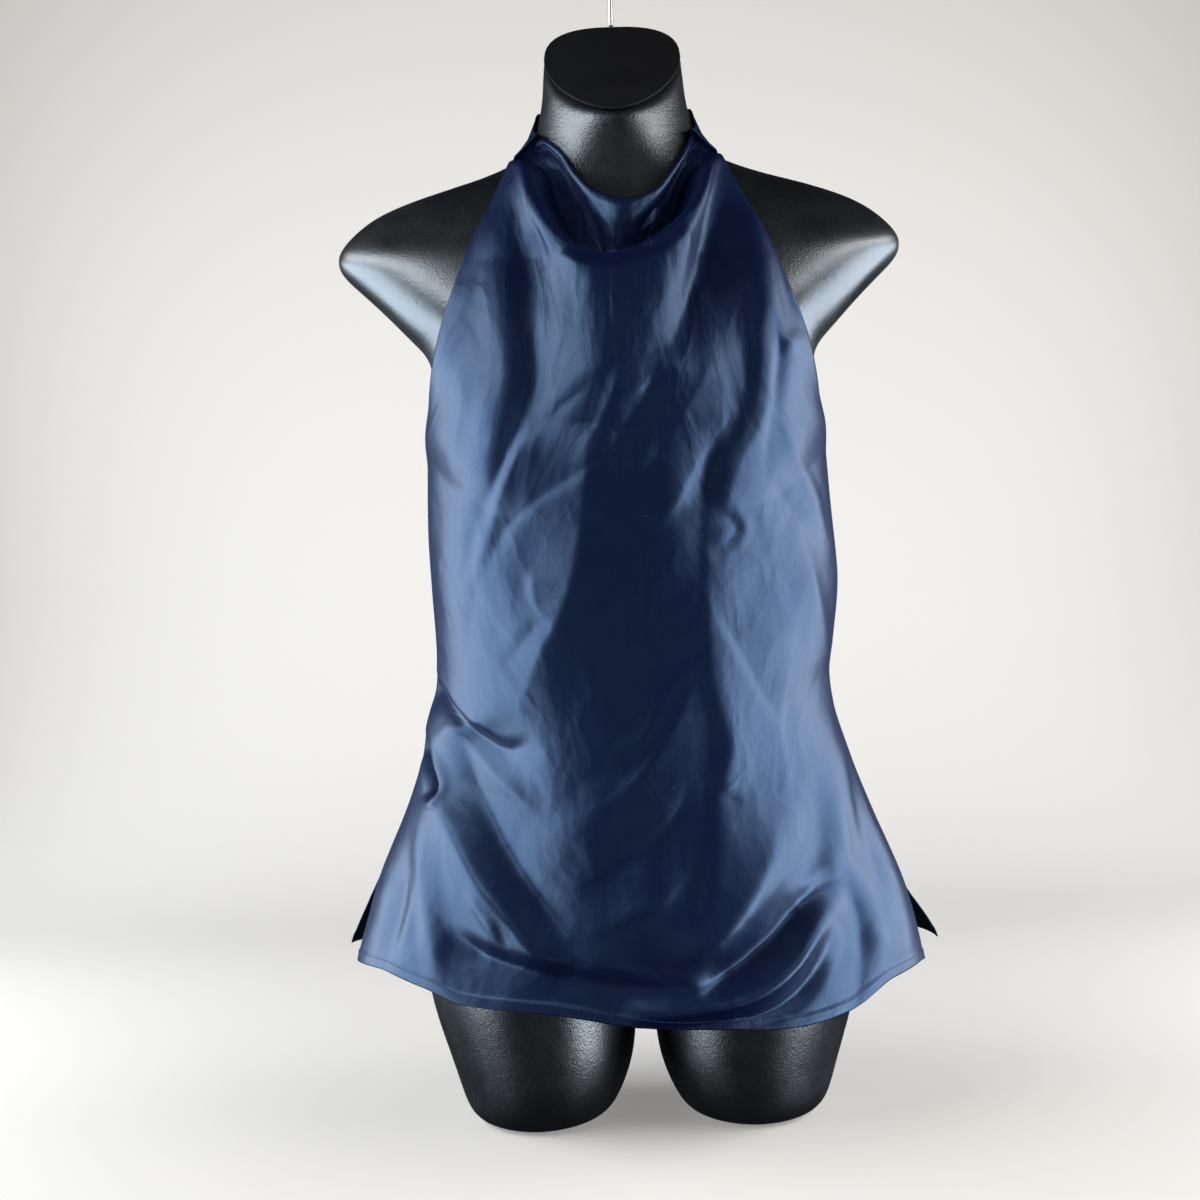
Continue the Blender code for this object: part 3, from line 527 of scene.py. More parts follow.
def back_base(u, v):
    foot = curve(BACK_HEM, u)[0]
    corner = curve(BACK_HEM, np.where(u < 0, -1.0, 1.0))[0]
    edge_z = corner + (UNDERARM - corner) * v
    z = foot + (BACK_DIP + (UNDERARM - BACK_DIP) * np.abs(u) ** BACK_DIP_POWER - foot) * v
    vent = vent_share(edge_z, u, corner)
    half = side_half_width(edge_z, u) + np.where(u < 0, *VENT_FLARE) * vent
    edge_y = SEAM_GAP / 2 + VENT_SPREAD * vent
    reach = curve(REACH, z)[1]
    x = half * np.sin(u * math.pi / 2)
    y = edge_y + (reach - edge_y) * np.cos(u * math.pi / 2)
    out = np.stack([x / half**2, y / reach**2, 0 * x], 1)
    out /= np.linalg.norm(out, axis=1, keepdims=True)
    return np.stack([x, y, z], 1), out


def back_place(u, v):
    """Where the back lies, with its foot and its top edge turned in."""
    base, out = back_base(u, v)
    x, z = base[:, 0], base[:, 2]
    inside = 1 - np.abs(u) ** 12
    raised = fold_height(BACK_FOLDS, x, z) * inside + ripple(x, z, 8) * inside * 0.5
    foot = curve(BACK_HEM, u)[0]
    raised += edge_turn(z - foot)
    raised += edge_turn((1 - v) * BACK_HEIGHT)
    return base + out * (raised + LIFT)[:, None]


def neckline(u):
    return front_base(u, np.ones(len(u)))[0]


def collar_edge(u):
    x, reach, z = curve(COLLAR_EDGE, u)
    return np.stack([x, -reach, z], 1)


def collar_place(u, v):
    """Where the collar lies: up from the neckline, over its folded edge and down behind it."""
    share = v * COLLAR_RETURN
    low, high = neckline(u), collar_edge(u)
    columns = curve(COLLAR, share) / 1000
    places = (-1.0, *COLLAR_PLACES, 1.0)
    ends = np.zeros((2, len(u)))
    back = np.clip(share - 1, 0, 1)[None] * np.array([[0.005], [0.04]])
    stations = [back + ends, *(columns[2 * i : 2 * i + 2] for i in range(5)), back + ends]
    offset = np.zeros((2, len(u)))
    for i in range(len(places) - 1):
        here = (u >= places[i]) & (u <= places[i + 1])
        t = ease((u - places[i]) / (places[i + 1] - places[i]))
        offset = np.where(here, stations[i] + (stations[i + 1] - stations[i]) * t, offset)
    spot = low + (high - low) * np.minimum(share, 1.0)[:, None]
    inward = -spot * np.array([1, 1, 0])
    inward /= np.linalg.norm(inward, axis=1, keepdims=True)
    sink = offset[0] + (NECK_ROLL - LIFT) * (1 - 0.5 * ease(share / 0.15))
    made = spot + inward * sink[:, None]
    made[:, 2] -= offset[1] - SEAM_GAP / 2
    return made


def band_place(u, v, lap):
    """Where the neck band lies, round the back of the neck and lifted by the lap."""
    sides = np.array([1.0])
    low_side, high_side = neckline(sides)[0], collar_edge(sides)[0]
    angle = u * math.pi / 2
    turn = np.cos(angle)
    low = np.stack(
        [
            low_side[0] * np.sin(angle),
            low_side[1] + (BAND_BACK_REACH + BAND_FLARE - low_side[1]) * turn,
            low_side[2] + (BAND_LOW_BACK - low_side[2]) * np.maximum(turn, 0) ** 0.6,
        ],
        1,
    )
    rise = ease(turn / BAND_RISE_RUN)
    high = np.stack(
        [
            high_side[0] * np.sin(angle),
            high_side[1] + (BAND_BACK_REACH - high_side[1]) * turn,
            high_side[2] + (BAND_TOP_SIDE - high_side[2]) * rise + (BAND_TOP_BACK - BAND_TOP_SIDE) * turn,
        ],
        1,
    )
    spot = low + (high - low) * v[:, None]
    out = np.stack([spot[:, 0], np.maximum(spot[:, 1], 0.0), 0 * v], 1)
    out /= np.linalg.norm(out, axis=1, keepdims=True)
    tucked = BAND_TUCK * ease((np.abs(u) - BAND_TUCK_FROM) / BAND_TUCK_RUN)
    return spot + out * (lap + LIFT - tucked)[:, None]


# ---------------------------------------------------------------- making pieces

FORM_NODES = ("torso_form_right", "torso_form_left", "form_neck")
JOIN = 0.0004  # just over the gap between the form's pieces
WELD = 1e-5


def link(name, mesh, *materials):
    made = bpy.data.objects.new(name, mesh)
    scene.collection.objects.link(made)
    for finish in materials:
        mesh.materials.append(finish)
    return made


def finish_mesh(shape, name):
    mesh = bpy.data.meshes.new(name)
    shape.to_mesh(mesh)
    shape.free()
    return mesh


def whole_form():
    """The form's neck and two halves joined into one closed skin."""
    shape = bmesh.new()
    for node in FORM_NODES:
        shape.from_mesh(nodes[node].data)
    bmesh.ops.remove_doubles(shape, verts=shape.verts, dist=WELD)
    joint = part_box("form_neck")[0][2]

    def inner(face):
        across = all(abs(vert.co.x) < JOIN for vert in face.verts)
        return across or all(abs(vert.co.z - joint) < JOIN for vert in face.verts)

    bmesh.ops.delete(shape, geom=[face for face in shape.faces if inner(face)], context="FACES")
    bmesh.ops.remove_doubles(shape, verts=shape.verts, dist=JOIN)
    limits = {"angle_face_threshold": math.radians(25), "angle_shape_threshold": math.radians(60)}
    bmesh.ops.join_triangles(shape, faces=shape.faces, **limits)
    return shape


form_shape = whole_form()
form_tree = BVHTree.FromBMesh(form_shape)


def clear_of_form(points):
    """The points, with any that come too near the form moved out to the clearance."""
    for i, point in enumerate(points):
        near, normal, _, _ = form_tree.find_nearest(Vector(point))
        out = (Vector(point) - near).dot(normal)
        if out < CLEARANCE:
            points[i] = near + normal * CLEARANCE
    return points


def cloth(name, place, columns, rows, cut, flip, finish, row_places=(0, 1)):
    """A piece of cloth: a grid laid where place(u, v) says, with its wall, and a UV map in metres.

    Its rows are spread evenly between the given shares of its height."""
    shape = bmesh.new()
    shape.loops.layers.uv.new("cut")
    bmesh.ops.create_grid(shape, x_segments=columns, y_segments=rows, size=1, calc_uvs=True)
    if flip:
        bmesh.ops.reverse_faces(shape, faces=shape.faces)
    mesh = finish_mesh(shape, name)
    flat = np.empty(len(mesh.vertices) * 3)
    mesh.vertices.foreach_get("co", flat)
    stops = np.linspace(0, 1, len(row_places))
    spread = np.interp((flat[1::3] + 1) / 2, stops, row_places)
    points = clear_of_form(place(0.8 * flat[0::3] + 0.2 * flat[0::3] ** 3, spread))
    mesh.vertices.foreach_set("co", points.ravel())
    uv = np.empty(len(mesh.loops) * 2)
    mesh.uv_layers["cut"].data.foreach_get("uv", uv)
    uv[1::2] = np.interp(uv[1::2], stops, row_places)
    mesh.uv_layers["cut"].data.foreach_set("uv", uv * np.tile(cut, len(mesh.loops)))
    mesh.shade_smooth()
    made = link(name, mesh, finish)
    wall = made.modifiers.new("wall", "SOLIDIFY")
    wall.thickness = CLOTH
    wall.offset = 1.0
    wall.use_even_offset = False
    return made


def at_length(run, line, length):
    """The point or direction that a line has at a length along it."""
    return np.array([np.interp(length, run, line[:, k]) for k in range(3)])


def stitches(name, lines, finish):
    """Short threads laid along each line of (point, outward direction) pairs."""
    shape = bmesh.new()
    for points, out in lines:
        steps = np.linalg.norm(np.diff(points, axis=0), axis=1)
        run = np.concatenate([[0], np.cumsum(steps)])
        for start in np.arange(STITCH_STEP / 2, run[-1] - STITCH_LENGTH, STITCH_STEP):
            first = at_length(run, points, start)
            last = at_length(run, points, start + STITCH_LENGTH)
            centre = Vector((first + last) / 2 + at_length(run, out, start) * THREAD * 0.5)
            along = Vector(last - first)
            turn = Vector((0, 0, 1)).rotation_difference(along)
            size = Matrix.Diagonal((THREAD, THREAD, along.length / 2 + THREAD, 1))
            spot = Matrix.Translation(centre) @ turn.to_matrix().to_4x4() @ size
            bmesh.ops.create_icosphere(shape, subdivisions=1, radius=1, matrix=spot)
    mesh = finish_mesh(shape, name)
    mesh.shade_smooth()
    return link(name, mesh, finish)


# ---------------------------------------------------------------- materials


def new_material(name):
    made = bpy.data.materials.new(name)
    made.use_nodes = True
    tree = made.node_tree
    return made, tree, tree.nodes["Principled BSDF"]


def join(tree, source, output, node, entry):
    tree.links.new(source.outputs[output], node.inputs[entry])


def add(tree, kind, *feed, **values):
    """A node with its settings. A source and the name of its output, if given, feed its first input."""
    node = tree.nodes.new(kind)
    for key, value in values.items():
        if key.startswith("in_"):
            node.inputs[key[3:].replace("_", " ")].default_value = value
        else:
            setattr(node, key, value)
    if feed:
        join(tree, *feed, node, 0)
    return node


def bump(tree, source, output, strength, distance, under=None):
    """Relief from a pattern, laid over the relief under it."""
    node = add(tree, "ShaderNodeBump", in_Strength=strength, in_Distance=distance)
    join(tree, source, output, node, "Height")
    if under:
        join(tree, under, "Normal", node, "Normal")
    return node


def tint(tree, source, output, low, high):
    """A colour that a pattern moves between two."""
    node = add(tree, "ShaderNodeMix", data_type="RGBA")
    node.inputs["A"].default_value = (*low, 1)
    node.inputs["B"].default_value = (*high, 1)
    join(tree, source, output, node, "Factor")
    return node


def group(name, inputs, outputs):
    """An empty node group with its sockets."""
    tree = bpy.data.node_groups.new(name, "ShaderNodeTree")
    for socket, kind, value in inputs:
        made = tree.interface.new_socket(socket, in_out="INPUT", socket_type=kind)
        made.default_value = value
    for socket, kind in outputs:
        tree.interface.new_socket(socket, in_out="OUTPUT", socket_type=kind)
    return tree, tree.nodes.new("NodeGroupInput"), tree.nodes.new("NodeGroupOutput")


def satin_weave():
    """Satin's long floats, the facets of cloth that has lain folded, uneven dye, and specks of lint."""
    tree, given, gives = group(
        "satin_weave",
        [("Base", "NodeSocketColor", (0.02, 0.04, 0.12, 1)), ("Lint", "NodeSocketFloat", 0.5)],
        [("Color", "NodeSocketColor"), ("Roughness", "NodeSocketFloat"), ("Normal", "NodeSocketVector")],
    )
    place = add(tree, "ShaderNodeTexCoord")
    laid = add(tree, "ShaderNodeMapping", place, "UV", in_Scale=(1, 0.12, 1))
    floats = add(tree, "ShaderNodeTexNoise", laid, "Vector", in_Scale=1700, in_Detail=2, in_Roughness=0.6)
    drawn = add(tree, "ShaderNodeMapping", place, "UV", in_Scale=(1, 0.03, 1))
    slubs = add(tree, "ShaderNodeTexNoise", drawn, "Vector", in_Scale=260, in_Detail=3, in_Roughness=0.6)
    clouds = add(tree, "ShaderNodeTexNoise", place, "UV", in_Scale=9, in_Detail=3)
    crepe = add(tree, "ShaderNodeTexNoise", place, "UV", in_Scale=55, in_Detail=4, in_Roughness=0.55)

    shade = add(tree, "ShaderNodeMapRange", slubs, "Fac", in_To_Min=0.75, in_To_Max=1.25)
    tone = add(tree, "ShaderNodeMapRange", clouds, "Fac", in_To_Min=0.85, in_To_Max=1.15)
    both = add(tree, "ShaderNodeMath", shade, "Result", operation="MULTIPLY")
    join(tree, tone, "Result", both, 1)
    dyed = add(tree, "ShaderNodeVectorMath", given, "Base", operation="SCALE")
    join(tree, both, "Value", dyed, "Scale")

    specks = add(tree, "ShaderNodeTexVoronoi", place, "UV", in_Scale=95, in_Randomness=1)
    small = add(tree, "ShaderNodeMapRange", specks, "Distance", in_From_Min=0.05, in_From_Max=0.03)
    some = add(tree, "ShaderNodeTexNoise", place, "UV", in_Scale=14, in_Detail=1)
    patches = add(tree, "ShaderNodeMapRange", some, "Fac", in_From_Min=0.62, in_From_Max=0.72)
    where = add(tree, "ShaderNodeMath", small, "Result", operation="MULTIPLY")
    join(tree, patches, "Result", where, 1)
    amount = add(tree, "ShaderNodeMath", where, "Value", operation="MULTIPLY")
    join(tree, given, "Lint", amount, 1)
    linted = add(tree, "ShaderNodeMix", data_type="RGBA")
    linted.inputs["B"].default_value = (0.35, 0.40, 0.48, 1)
    join(tree, amount, "Value", linted, "Factor")
    join(tree, dyed, "Vector", linted, "A")
    join(tree, linted, "Result", gives, "Color")

    gloss = add(tree, "ShaderNodeMapRange", slubs, "Fac", in_To_Min=0.36, in_To_Max=0.44)
    join(tree, gloss, "Result", gives, "Roughness")

    drift = add(tree, "ShaderNodeTexNoise", place, "UV", in_Scale=7, in_Detail=2)
    push = add(tree, "ShaderNodeVectorMath", drift, "Color", operation="SCALE")
    push.inputs["Scale"].default_value = 0.12
    bent = add(tree, "ShaderNodeVectorMath", place, "UV", operation="ADD")
    join(tree, push, "Vector", bent, 1)
    uneven = {"in_Detail": 1.6, "in_Roughness": 0.45, "in_Lacunarity": 2.3}
    facets = add(tree, "ShaderNodeTexVoronoi", bent, "Vector", in_Scale=13, **uneven)
    folded = bump(tree, facets, "Distance", 0.35, 0.0040)

    soft = bump(tree, crepe, "Fac", 0.4, 0.0008, folded)
    fine = bump(tree, floats, "Fac", 0.4, 0.0001, soft)
    join(tree, fine, "Normal", gives, "Normal")
    return tree


def satin(name, weave, base, lint):
    made, tree, shader = new_material(name)
    woven = add(tree, "ShaderNodeGroup", node_tree=weave)
    woven.inputs["Base"].default_value = (*base, 1)
    woven.inputs["Lint"].default_value = lint
    join(tree, woven, "Color", shader, "Base Color")
    join(tree, woven, "Roughness", shader, "Roughness")
    join(tree, woven, "Normal", shader, "Normal")
    shader.inputs["Specular IOR Level"].default_value = 0.9
    shader.inputs["Specular Tint"].default_value = (0.36, 0.60, 1.0, 1)
    return made


def grained_plastic():
    """Black plastic with a fine moulded grain, uneven gloss and pale scuffs."""
    made, tree, shader = new_material("grained_black_plastic")
    place = add(tree, "ShaderNodeTexCoord")
    grain = add(tree, "ShaderNodeTexVoronoi", place, "Object", in_Scale=900, feature="SMOOTH_F1")
    peel = add(tree, "ShaderNodeTexNoise", place, "Object", in_Scale=260, in_Detail=3, in_Roughness=0.55)
    coarse = bump(tree, peel, "Fac", 0.3, 0.0004)
    fine = bump(tree, grain, "Distance", 0.4, 0.0003, coarse)
    join(tree, fine, "Normal", shader, "Normal")
    worn = add(tree, "ShaderNodeTexNoise", place, "Object", in_Scale=18, in_Detail=6, in_Roughness=0.7)
    wear = {"in_From_Min": 0.3, "in_From_Max": 0.75, "in_To_Min": 0.28, "in_To_Max": 0.42}
    gloss = add(tree, "ShaderNodeMapRange", worn, "Fac", **wear)
    join(tree, gloss, "Result", shader, "Roughness")
    scuff = add(tree, "ShaderNodeMapRange", worn, "Fac", in_From_Min=0.66, in_From_Max=0.8)
    mixed = tint(tree, scuff, "Result", (0.0026, 0.0028, 0.0036), (0.05, 0.05, 0.052))
    join(tree, mixed, "Result", shader, "Base Color")
    shader.inputs["Specular IOR Level"].default_value = 0.9
    shader.inputs["IOR"].default_value = 1.75
    shader.inputs["Specular Tint"].default_value = (0.86, 0.93, 1.0, 1)
    return made


def smooth_plastic():
    """Dull black plastic, a little hazed."""
    made, tree, shader = new_material("smooth_black_plastic")
    place = add(tree, "ShaderNodeTexCoord")
    haze = add(tree, "ShaderNodeTexNoise", place, "Object", in_Scale=60, in_Detail=5, in_Roughness=0.6)
    gloss = add(tree, "ShaderNodeMapRange", haze, "Fac", in_To_Min=0.6, in_To_Max=0.75)
    join(tree, gloss, "Result", shader, "Roughness")
    tone = tint(tree, haze, "Fac", (0.006, 0.006, 0.007), (0.012, 0.012, 0.013))
    join(tree, tone, "Result", shader, "Base Color")
    relief = bump(tree, haze, "Fac", 0.15, 0.0003)
    join(tree, relief, "Normal", shader, "Normal")
    shader.inputs["Specular IOR Level"].default_value = 0.12
    return made


def steel():
    """Bright wire with the fine lines of drawing along it."""
    made, tree, shader = new_material("drawn_steel")
    place = add(tree, "ShaderNodeTexCoord")
    stretch = add(tree, "ShaderNodeMapping", place, "Object", in_Scale=(1, 1, 0.05))
    lines = add(tree, "ShaderNodeTexNoise", stretch, "Vector", in_Scale=2400, in_Detail=3)
    gloss = add(tree, "ShaderNodeMapRange", lines, "Fac", in_To_Min=0.2, in_To_Max=0.38)
    join(tree, gloss, "Result", shader, "Roughness")
    tone = tint(tree, lines, "Fac", (0.50, 0.47, 0.45), (0.68, 0.66, 0.64))
    join(tree, tone, "Result", shader, "Base Color")
    shader.inputs["Metallic"].default_value = 1.0
    return made


def thread():
    made, tree, shader = new_material("navy_thread")
    place = add(tree, "ShaderNodeTexCoord")
    twist = add(tree, "ShaderNodeTexNoise", place, "Object", in_Scale=3000, in_Detail=1)
    tone = tint(tree, twist, "Fac", (0.010, 0.020, 0.060), (0.035, 0.060, 0.150))
    join(tree, tone, "Result", shader, "Base Color")
    shader.inputs["Roughness"].default_value = 0.6
    return made


weave = satin_weave()
NAVY = (0.0012, 0.0036, 0.030)
front_satin = satin("navy_satin_front", weave, NAVY, 0.8)
back_satin = satin("navy_satin_back", weave, NAVY, 0.3)
plastic = grained_plastic()
cap_plastic = smooth_plastic()
wire = steel()
sewing_thread = thread()

# ---------------------------------------------------------------- the top

# Rows lie closer at the hem and at the neckline
FRONT_ROWS = (0, 0.016, *np.linspace(0.016, 0.985, 23)[1:], 1)
front = cloth("front_satin_panel", front_place, 198, 240, (0.60, 0.62), False, front_satin, FRONT_ROWS)
back = cloth("back_satin_panel", back_place, 120, 110, (0.60, 0.38), True, back_satin)
collar = cloth("draped_collar", collar_place, 150, 78, (0.30, 0.12), False, front_satin)


def band_half(start, end, lap_from):
    """Half of the band, between two places round the neck, lifted where it laps the other half."""

    def place(u, v):
        at = start + (end - start) * (u + 1) / 2
        share = ease((lap_from - at) / 0.10 + 1.2) if lap_from is not None else 0 * at
        return band_place(at, v, share * SEAM_LAP)

    return place


under = band_half(-BAND_REACH, BAND_OVERLAP, None)
over = band_half(BAND_REACH, -BAND_OVERLAP, BAND_OVERLAP)
band_right = cloth("neck_band_right_half", under, 60, 16, (0.13, 0.04), True, back_satin)
band_left = cloth("neck_band_left_half", over, 60, 16, (0.13, 0.04), False, back_satin)

for piece, node in (
    (front, "front_panel"),
    (back, "back_panel"),
    (collar, "collar"),
    (band_right, "neck_band_right"),
    (band_left, "neck_band_left"),
):
    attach(piece, "root")
    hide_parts(node)


def button(name, node, at):
    """A small covered button: a dome over a pinched-in back."""
    shape = bmesh.new()
    bmesh.ops.create_uvsphere(shape, u_segments=28, v_segments=16, radius=BUTTON_RADIUS)
    for vert in shape.verts:
        vert.co.z *= BUTTON_DOME if vert.co.z > 0 else BUTTON_BACK
    zero = np.zeros(1)
    centre = Vector(band_place(zero, zero + at, zero + SEAM_LAP + CAD_WALL + SEAM_GAP)[0])
    out = Vector((0, BAND_TOP_BACK - BAND_LOW_BACK, BAND_FLARE)).normalized()
    turn = Vector((0, 0, 1)).rotation_difference(out)
    spot = Matrix.Translation(centre + out * BUTTON_LIFT) @ turn.to_matrix().to_4x4()
    bmesh.ops.transform(shape, matrix=spot, verts=shape.verts)
    mesh = finish_mesh(shape, name)
    mesh.shade_smooth()
    made = link(name, mesh, back_satin)
    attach(made, "root")
    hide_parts(node)


button("covered_button_lower", "button_lower", BUTTON_HEIGHTS[0])
button("covered_button_upper", "button_upper", BUTTON_HEIGHTS[1])

# ---------------------------------------------------------------- the form, its cap and its hook


def ease_edges(shape, edges, size, steps):
    settings = {"offset_type": "OFFSET", "profile": 0.5, "affect": "EDGES", "material": -1}
    bmesh.ops.bevel(shape, geom=edges, offset=size, segments=steps, **settings)


def moulded_form():
    """One moulded shell, with the hard edges of its neck and thigh ends a little rounded."""
    made = link("moulded_form", finish_mesh(form_shape, "moulded_form"), plastic)
    rounded = made.modifiers.new("rounded", "SUBSURF")
    rounded.levels = rounded.render_levels = 2
    even = made.modifiers.new("even", "REMESH")
    even.mode = "VOXEL"
    even.voxel_size = FORM_VOXEL
    even.use_smooth_shade = True
    relaxed = made.modifiers.new("relaxed", "SMOOTH")
    relaxed.factor = 0.5
    relaxed.iterations = 8
    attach(made, "root")
    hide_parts(*FORM_NODES)


def neck_plate():
    """The plate that closes the neck, with its rim eased."""
    shape = bmesh.new()
    shape.from_mesh(nodes["neck_cap"].data)
    bmesh.ops.remove_doubles(shape, verts=shape.verts, dist=WELD)
    bmesh.ops.dissolve_limit(shape, angle_limit=math.radians(2), verts=shape.verts, edges=shape.edges)
    rim = [edge for edge in shape.edges if edge.calc_face_angle(0) > math.radians(45)]
    ease_edges(shape, rim, 0.0004, 2)
    mesh = finish_mesh(shape, "neck_plate")
    mesh.shade_smooth()
    made = link("neck_plate", mesh, cap_plastic)
    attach(made, "root")
    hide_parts("neck_cap")


def wire_hook():
    """A drawn wire, turned over to one side at the top, with a rounded end."""
    low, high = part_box("hanging_hook")
    radius = HOOK_WIRE / 2
    foot = Vector((0, (low[1] + high[1]) / 2, low[2] + 0.0002))
    turn_radius = high[0] / 2 - radius / 2
    top = high[2] - radius - turn_radius
    points = [foot + Vector((0, 0, (top - foot.z) * k / 8)) for k in range(8)]
    for k in range(49):
        angle = HOOK_TURN * k / 48
        across, up = turn_radius * (1 - math.cos(angle)), turn_radius * math.sin(angle)
        points.append(Vector((across, foot.y, top + up)))
    shape = bmesh.new()
    ring = bmesh.ops.create_circle(shape, segments=20, radius=radius, cap_ends=True)["verts"]
    bmesh.ops.translate(shape, verts=ring, vec=points[0])
    last = ring[0].link_faces[0]
    heading = Vector((0, 0, 1))
    for step, (before, after) in enumerate(zip(points, points[1:])):
        new_heading = (after - before).normalized()
        grown = bmesh.ops.extrude_face_region(shape, geom=[last], use_keep_orig=step == 0)
        last = next(part for part in grown["geom"] if isinstance(part, bmesh.types.BMFace))
        bend = heading.rotation_difference(new_heading).to_matrix()
        bmesh.ops.rotate(shape, verts=last.verts, cent=before, matrix=bend)
        bmesh.ops.translate(shape, verts=last.verts, vec=after - before)
        heading = new_heading
    bmesh.ops.recalc_face_normals(shape, faces=shape.faces)
    ease_edges(shape, list(last.edges), radius * 0.6, 4)
    mesh = finish_mesh(shape, "wire_hook")
    mesh.shade_smooth()
    mesh.set_sharp_from_angle(angle=math.radians(40))
    made = link("wire_hook", mesh, wire)
    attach(made, "root")
    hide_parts("hanging_hook")


moulded_form()
neck_plate()
wire_hook()

# ---------------------------------------------------------------- sewing

NEARBY = 0.004  # a small step across or up a panel
# Shares of a panel: how far across the hem's line runs, and where the vents' lines start and lie
HEM_SPAN = 0.985
VENT_START = 0.012
VENT_LINE = 0.972
PANEL_HEIGHT = 0.6


def outward(place, u, v):
    """The directions that lead out of a panel."""
    side = place(np.clip(u + NEARBY, -1, 1), v) - place(np.clip(u - NEARBY, -1, 1), v)
    up = place(u, v + NEARBY) - place(u, np.maximum(v - NEARBY, 0))
    out = np.cross(side, up)
    return out / np.linalg.norm(out, axis=1, keepdims=True)


def hem_line(place, foot, face):
    """Where the hem's stitches lie on a panel, with the directions that lead out of it."""
    u = np.linspace(-HEM_SPAN, HEM_SPAN, 420)
    v = np.zeros(len(u))
    for _ in range(12):
        points = place(u, v)
        rise = curve(foot, u)[0] + HEM_DEPTH - STITCH_INSET - points[:, 2]
        v = np.clip(v + rise / PANEL_HEIGHT, 0, 1)
    out = outward(place, u, v) * face
    return points + out * CLOTH, out


def vent_line(place, across, top, face):
    """The same along a vent's edge, from the hem up to its top."""
    v = np.linspace(VENT_START, top, 60)
    u = np.full(len(v), across)
    out = outward(place, u, v) * face
    return place(u, v) + out * CLOTH, out


hem_stitches = stitches(
    "hem_topstitch",
    [
        hem_line(front_place, FRONT_HEM, 1),
        hem_line(back_place, BACK_HEM, -1),
        vent_line(front_place, -VENT_LINE, 0.125, 1),
        vent_line(front_place, VENT_LINE, 0.107, 1),
        vent_line(back_place, -VENT_LINE, 0.18, -1),
        vent_line(back_place, VENT_LINE, 0.14, -1),
    ],
    sewing_thread,
)
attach(hem_stitches, "root")

# ---------------------------------------------------------------- floor, light and camera


def studio_floor():
    """A pale sweep: a floor that curves up into a backdrop, and can be seen through from behind."""
    length, half_width, start, bend, wall_stretch = 5.2, 4, 0.75, 0.5, 2.2
    shape = bmesh.new()
    bmesh.ops.create_grid(shape, x_segments=1, y_segments=40, size=1)
    for vert in shape.verts:
        run = (vert.co.y + 1) / 2 * length - length / 2
        across = vert.co.x * half_width
        if run < start:
            vert.co = (across, run, 0)
        elif run < start + bend * math.pi / 2:
            angle = (run - start) / bend
            vert.co = (across, start + bend * math.sin(angle), bend * (1 - math.cos(angle)))
        else:
            vert.co = (across, start + bend, bend + (run - start - bend * math.pi / 2) * wall_stretch)
    mesh = finish_mesh(shape, "studio_sweep")
    mesh.shade_smooth()
    made, tree, shader = new_material("pale_paint")
    shader.inputs["Base Color"].default_value = (0.66, 0.61, 0.56, 1)
    shader.inputs["Roughness"].default_value = 0.9
    shader.inputs["Specular IOR Level"].default_value = 0.1
    shader.inputs["Emission Color"].default_value = (1.0, 0.965, 0.92, 1)
    shader.inputs["Emission Strength"].default_value = 0.245
    side = add(tree, "ShaderNodeNewGeometry")
    clear = add(tree, "ShaderNodeBsdfTransparent")
    pick = add(tree, "ShaderNodeMixShader")
    join(tree, side, "Backfacing", pick, "Fac")
    join(tree, shader, "BSDF", pick, 1)
    join(tree, clear, "BSDF", pick, 2)
    join(tree, pick, "Shader", tree.nodes["Material Output"], "Surface")
    sweep = link("studio_sweep", mesh, made)
    sweep.visible_diffuse = False
    sweep.visible_glossy = False
    sweep.visible_shadow = False


def softbox(name, place, aim, width, height, power, colour):
    data = bpy.data.lights.new(name, "AREA")
    data.shape = "RECTANGLE"
    data.size, data.size_y = width, height
    data.energy = power
    data.color = colour
    lamp = bpy.data.objects.new(name, data)
    lamp.visible_camera = False
    scene.collection.objects.link(lamp)
    lamp.location = place
    lamp.rotation_euler = (Vector(aim) - Vector(place)).to_track_quat("-Z", "Y").to_euler()


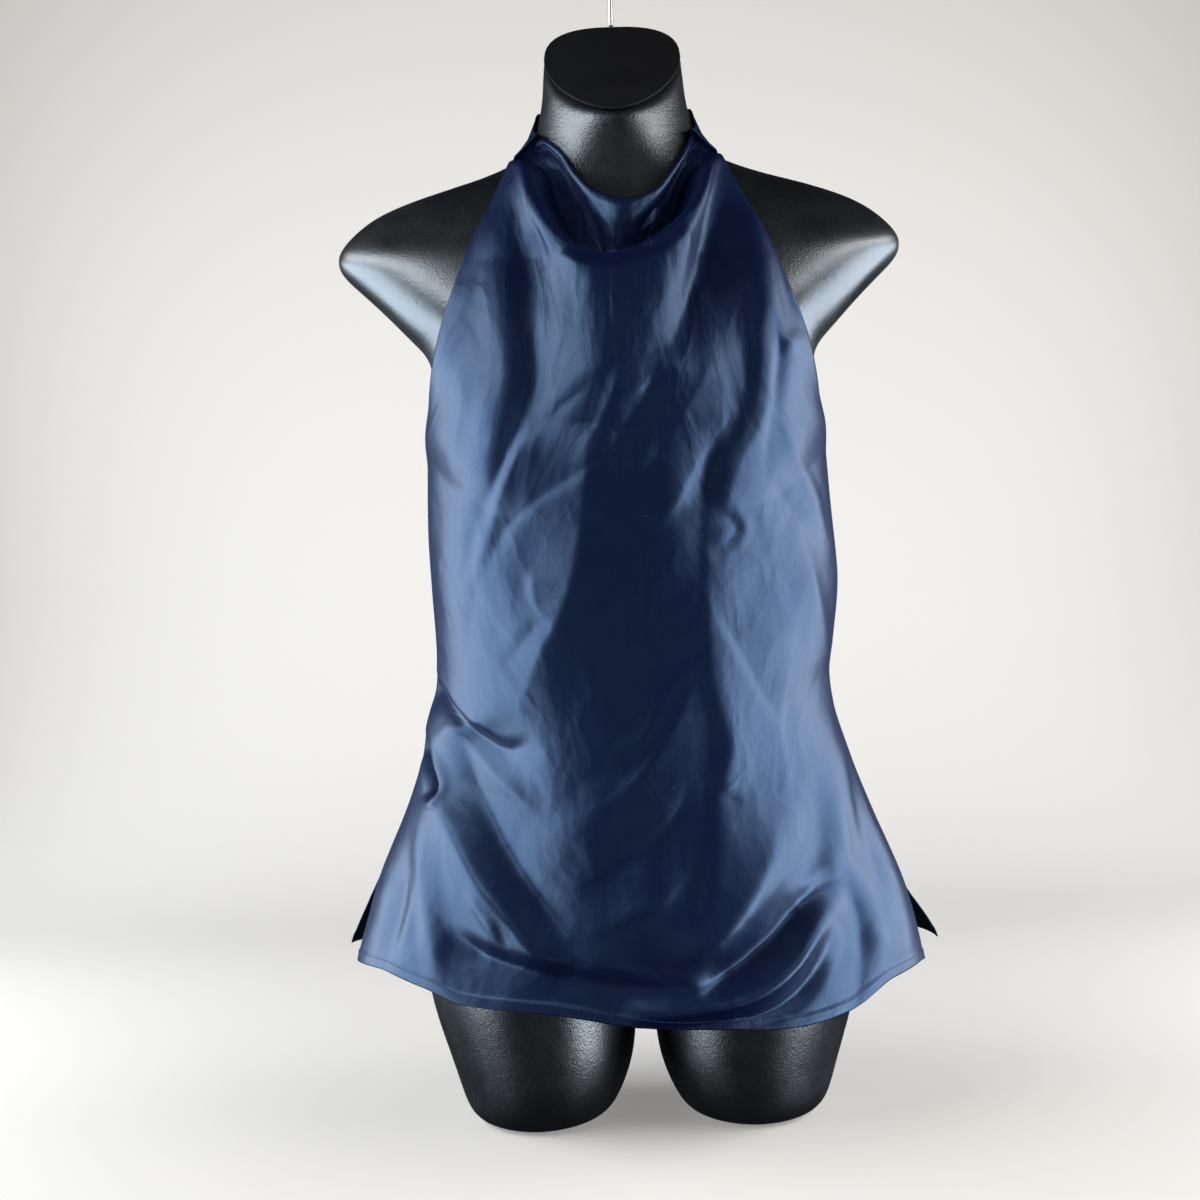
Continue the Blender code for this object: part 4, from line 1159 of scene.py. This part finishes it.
def studio_world():
    """A pale surround to the eye that adds only a little light of its own."""
    world = bpy.data.worlds.new("studio")
    scene.world = world
    world.use_nodes = True
    tree = world.node_tree
    seen = tree.nodes["Background"]
    seen.inputs["Color"].default_value = (0.86, 0.855, 0.84, 1)
    fill = add(tree, "ShaderNodeBackground", in_Color=(0.75, 0.85, 1.0, 1), in_Strength=0.02)
    path = add(tree, "ShaderNodeLightPath")
    pick = add(tree, "ShaderNodeMixShader")
    join(tree, path, "Is Camera Ray", pick, "Fac")
    join(tree, fill, "Background", pick, 1)
    join(tree, seen, "Background", pick, 2)
    join(tree, pick, "Shader", tree.nodes["World Output"], "Surface")


studio_floor()
studio_world()
COOL = (0.95, 0.99, 1.0)
softbox("left_softbox", (-1.15, -0.03, 0.35), (0, -0.03, 0.35), 1.3, 0.94, 21, (0.80, 0.91, 1.0))
softbox("right_softbox", (1.15, -0.03, 0.35), (0, -0.03, 0.35), 1.3, 0.94, 20, (0.84, 0.92, 1.0))
softbox("high_left_softbox", (-1.00, -0.45, 1.12), (0, -0.05, 0.72), 1.8, 0.45, 14, COOL)
softbox("high_right_softbox", (1.05, -0.40, 1.08), (0, -0.05, 0.72), 1.7, 0.36, 9, (1.0, 0.98, 0.95))
softbox("low_left_softbox", (-0.85, -0.45, -0.10), (-0.12, -0.05, 0.07), 0.5, 0.25, 1.7, COOL)
softbox("low_right_softbox", (0.85, -0.45, -0.10), (0.12, -0.05, 0.07), 0.5, 0.25, 3.8, COOL)
softbox("low_front_softbox", (0, -1.55, 0.02), (0, 0, 0.15), 0.7, 0.30, 0.5, COOL)

CAMERA_HEIGHT = 0.385
CAMERA_DISTANCE = 1.25
CAMERA_ROLL = math.radians(2.0)
CAMERA_SHIFT = -0.0258
FOCAL_LENGTH = 49.2  # millimetres
camera_data = bpy.data.cameras.new("camera")
camera_data.lens = FOCAL_LENGTH
camera_data.sensor_width = 36
camera_data.shift_x = CAMERA_SHIFT
camera = bpy.data.objects.new("camera", camera_data)
scene.collection.objects.link(camera)
camera.matrix_world = (
    Matrix.Translation((0, -CAMERA_DISTANCE, CAMERA_HEIGHT))
    @ Matrix.Rotation(CAMERA_ROLL, 4, "Y")
    @ Matrix.Rotation(math.pi / 2, 4, "X")
)
scene.camera = camera
scene.view_settings.view_transform = "Standard"
